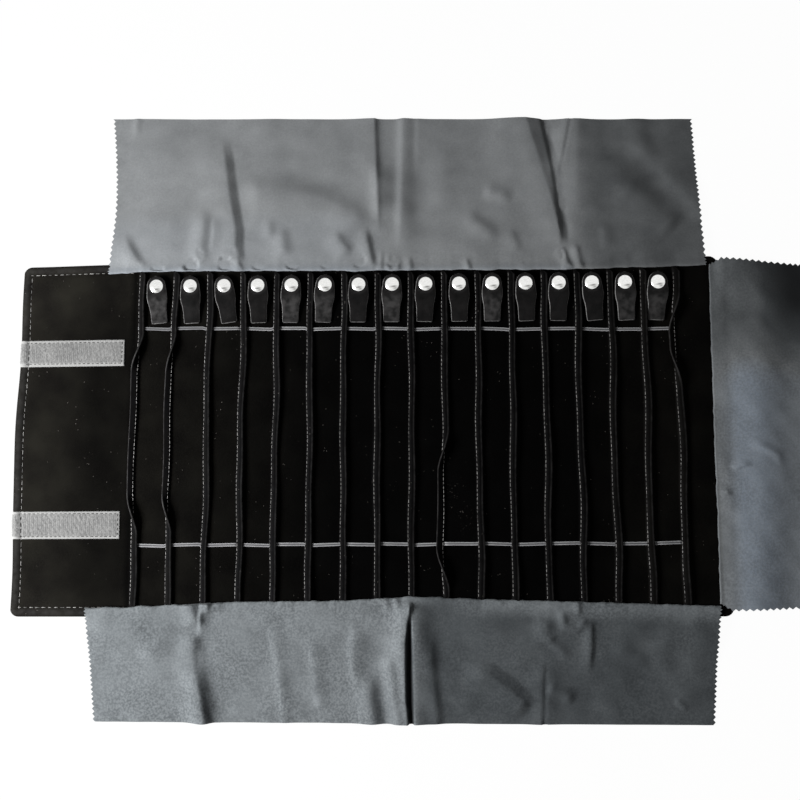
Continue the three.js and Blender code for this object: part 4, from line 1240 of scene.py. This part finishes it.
def cloth_surface(us, length, place, edges, creases, puckers, seed, fold, ceiling=None):
    """Lays a flap out: us run along the seam, and place turns (along, outward) into X and Y."""
    path = cloth_path(*fold)
    flat_from = path[-1, 0]
    steps = int(round((length - flat_from) / (PINK_PITCH / 2)))
    outs = np.concatenate([path[:, 0], flat_from + (length - flat_from) * np.arange(1, steps + 1) / steps])
    heights = np.concatenate([path[:, 1], np.full(steps, FLOOR_Z)])
    along, out = np.meshgrid(us, outs)
    row = np.arange(len(outs))
    past_fold = row >= OVER_FROM
    teeth = np.where(row % 2 == 0, 0.5, -0.5) * PINK_DEPTH * past_fold
    squeezed = edges(along, out / length)
    squeezed[:, 0] += teeth
    squeezed[:, -1] -= teeth
    near_fold = 1 - smooth((out - 3) / 14)
    gathered = sum(high * ripple(along, 0 * along, apart, seed + extra) for high, apart, extra in GATHERS)
    x, y = place(squeezed, out - GATHER_DEPTH * gathered * near_fold)
    lift = sum(crease_lift(x, y, *crease) for crease in creases)
    for high, apart, extra in WAVES:
        lift = lift + high * (1 + ripple(x, y, apart, seed + extra))
    lift = lift * smooth((out - 1.0) / 9.0)
    edge = sum((crease_lift(x, y, *pucker) for pucker in puckers), np.zeros(x.shape))
    over = smooth((row - OVER_FROM + 6) / 6)[:, None]
    z = heights[:, None] + (lift + edge + GATHER_LIFT * gathered * near_fold) * over
    if ceiling is not None:
        z = np.where(past_fold[:, None], np.minimum(z, ceiling(x, y)), z)
    return np.stack([x, y, np.maximum(z, LOWEST_Z)], 2)


def over_caps(x, y):
    """How high the top flap may lie, so that it clears the caps and tabs when it is folded in over them."""
    nearest = np.full(x.shape, 1e3)
    for lane in range(LANES):
        cx, cy = snap_centre(lane)
        nearest = np.minimum(nearest, np.hypot(x - cx, y - (2 * SEAM_Y - cy)))
    return CAP_CEILING + 1.5 * smooth((nearest - 4.8) / 1.5) + 4.0 * smooth((nearest - 13.0) / 4.0)


def place_top(u, out):
    """Starts along the fold, and turns on its way out until it is square with the flap's far edge."""
    skew = smooth((out - 20) / 100)
    end, fall = TOP_END
    return u, fold_top(u) + out + skew * (end - fall * u - fold_top(u) - TOP_REACH)


def place_bottom(u, out):
    skew = smooth((out - 20) / 60)
    return u, fold_bottom(u) - out - skew * (BOTTOM_END - BOTTOM_REACH + fold_bottom(u))


def place_end(u, out):
    return SEAM_X + END_SLANT * u + out, u


def flap_sides(u):
    """1 at a flap's left side and at its right side, and 0 well away from them."""
    left = smooth((FLAP_LEFT + SIDE_REACH - u) / SIDE_REACH)
    right = smooth((u - (FLAP_RIGHT - SIDE_REACH)) / SIDE_REACH)
    return left, right


def top_edges(u, share):
    """The left side bows in, and the right side leans in."""
    left, right = flap_sides(u)
    bow = 1.5 + 3.6 * np.sin(math.pi * share) - 0.6 * share
    return u + left * bow - right * 5.0 * share


def bottom_edges(u, share):
    """The left side stands out most at the fold, and the right side leans in."""
    left, right = flap_sides(u)
    return u + left * (-8.0 + 7.5 * share) - right * (1.0 + 7.0 * share)


def end_edges(u, share):
    """Both sides lean in, and draw in more where the flap leaves its seam."""
    corner = 1 - smooth(share / CORNER_SHARE)
    top = smooth(u / END_HALF) * (9.0 * share + 4.5 * corner)
    bottom = smooth(-u / END_HALF) * (2.5 * share + 4.5 * corner)
    return u + 1.2 - top + bottom


def top_painted_light(x, y):
    """Painted light, a little more so near the fold, and painted shade at the right."""
    low = 0.12 * smooth((185 - y) / 30) + 0.2 * (1 - smooth((y - fold_top(x)) / 7))
    return 0.3 + low - 0.88 * smooth((x - 150) / 30) - 0.1 * smooth((x + 20) / 60)


def bottom_painted_light(x, y):
    """Painted shade right of the deep fold, a painted black shadow inside it, and painted light along the
    flap's own fold.
    """
    out = fold_bottom(x) - y
    left_lip = np.interp(-y, (117, 146, 188, 202), (31.8, 28.6, 28.6, 30.2))
    right_lip = np.interp(-y, (117, 146, 202), (32.3, 33.6, 34))
    fold_shadow = smooth((x - left_lip) / 1.2) * smooth((right_lip - x) / 1.2) * smooth((out - 2) / 5)
    edge = 0.8 * smooth((x - 50) / 50) * (1 - smooth((out - 3) / 13))
    return -0.06 + 0.2 * smooth((x + 110) / 60) - 1.0 * smooth((x - 32) / 14) + edge - 4.0 * fold_shadow


def end_painted_light(x, y):
    """Painted light below the middle, painted shade in the far corner and at the fold's rounded edge, and
    even along the fold.
    """
    out = x - SEAM_X
    light = 0.45 + 0.5 * bell(out - 24, 26)
    upper = smooth((y - 30) / 60)
    corner = smooth((y - 40) / 60) * smooth((out - 30) / 32)
    even = smooth((out - 3) / 16)
    rounded = 1 - smooth(out / 1.6)
    return (0.42 * (1 - even) + light * even) * (1 - upper) - 0.62 * upper - 1.9 * corner - 0.6 * rounded


def seam_columns(stops):
    """Columns along a seam that fall on every stop."""
    parts = []
    for start, end in zip(stops, stops[1:]):
        parts.append(np.linspace(start, end, int(round((end - start) / CLOTH_STEP)) + 1)[:-1])
    return np.concatenate([*parts, stops[-1:]])


def cloth_piece(name, points, normals, nap_and_painted_light, fuzz, flip):
    """A cloth of two faces and a cut edge. It keeps the whole flap's normals, so that a slit doesn't show."""
    if flip:
        points, normals, nap_and_painted_light = points[:, ::-1], normals[:, ::-1], nap_and_painted_light[:, ::-1]
    shape, faces = shell(points, CLOTH, normals)
    marks = {"nap_and_painted_light": np.concatenate([nap_and_painted_light, 0 * nap_and_painted_light]), "fuzz": np.full(len(shape), fuzz)}
    piece = make_object(name, shape, faces, DUST_CLOTH, marks)
    rows, cols = points.shape[:2]
    flat = 2 * (rows - 1) * (cols - 1)
    corners = np.concatenate([normals, -normals]).reshape(-1, 3)[np.array(faces)]
    quads = shape[np.array(faces[flat:])]
    sides = np.cross(quads[:, 2] - quads[:, 0], quads[:, 3] - quads[:, 1])
    sides /= np.maximum(np.linalg.norm(sides, axis=1, keepdims=True), 1e-9)
    corners[flat:] = sides[:, None]
    piece.data.normals_split_custom_set(corners.reshape(-1, 3).tolist())
    return piece


flap_stops = [FLAP_LEFT, MIDDLE_FOLD_X, RIGHT_FOLD_X, FLAP_RIGHT]
flap_columns = seam_columns(flap_stops)
flap_cuts = [int(np.argmin(np.abs(flap_columns - stop))) for stop in flap_stops]


def cut_flap(name, side, surface, nap_and_painted_light, fuzz):
    """Makes a flap's three pieces, one for each section of the roll."""
    normals = grid_normals(surface) * side
    painted_shading = nap_and_painted_light(surface[..., 0], surface[..., 1])
    for number, part in enumerate(parts_between(flap_cuts)):
        section = SECTIONS[number]
        cloth = surface[:, part]
        title = f"{section}_{name}_cloth"
        piece = cloth_piece(title, cloth, normals[:, part], painted_shading[:, part], fuzz, side < 0)
        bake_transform(piece)
        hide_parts(f"{section}_{name}_flap")


TOP_SEED, BOTTOM_SEED, END_SEED = 21, 31, 41
TOP_FUZZ, BOTTOM_FUZZ, END_FUZZ = 0.2, 1.0, 0.5
surface = cloth_surface(
    flap_columns, TOP_REACH, place_top, top_edges,
    TOP_CREASES, TOP_PUCKERS, TOP_SEED, LOW_FOLD, over_caps,
)
cut_flap("top", 1, surface, top_painted_light, TOP_FUZZ)
surface = cloth_surface(
    flap_columns, BOTTOM_REACH, place_bottom, bottom_edges,
    BOTTOM_CREASES, BOTTOM_PUCKERS, BOTTOM_SEED, PUFFED_FOLD,
)
cut_flap("bottom", -1, surface, bottom_painted_light, BOTTOM_FUZZ)
end_columns = seam_columns([-END_HALF, END_HALF])
surface = cloth_surface(end_columns, END_REACH, place_end, end_edges, END_CREASES, (), END_SEED, FLAT_FOLD)
painted_shading = end_painted_light(surface[..., 0], surface[..., 1])
piece = cloth_piece("end_cloth", surface, -grid_normals(surface), painted_shading, END_FUZZ, True)
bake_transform(piece)
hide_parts("end_flap")
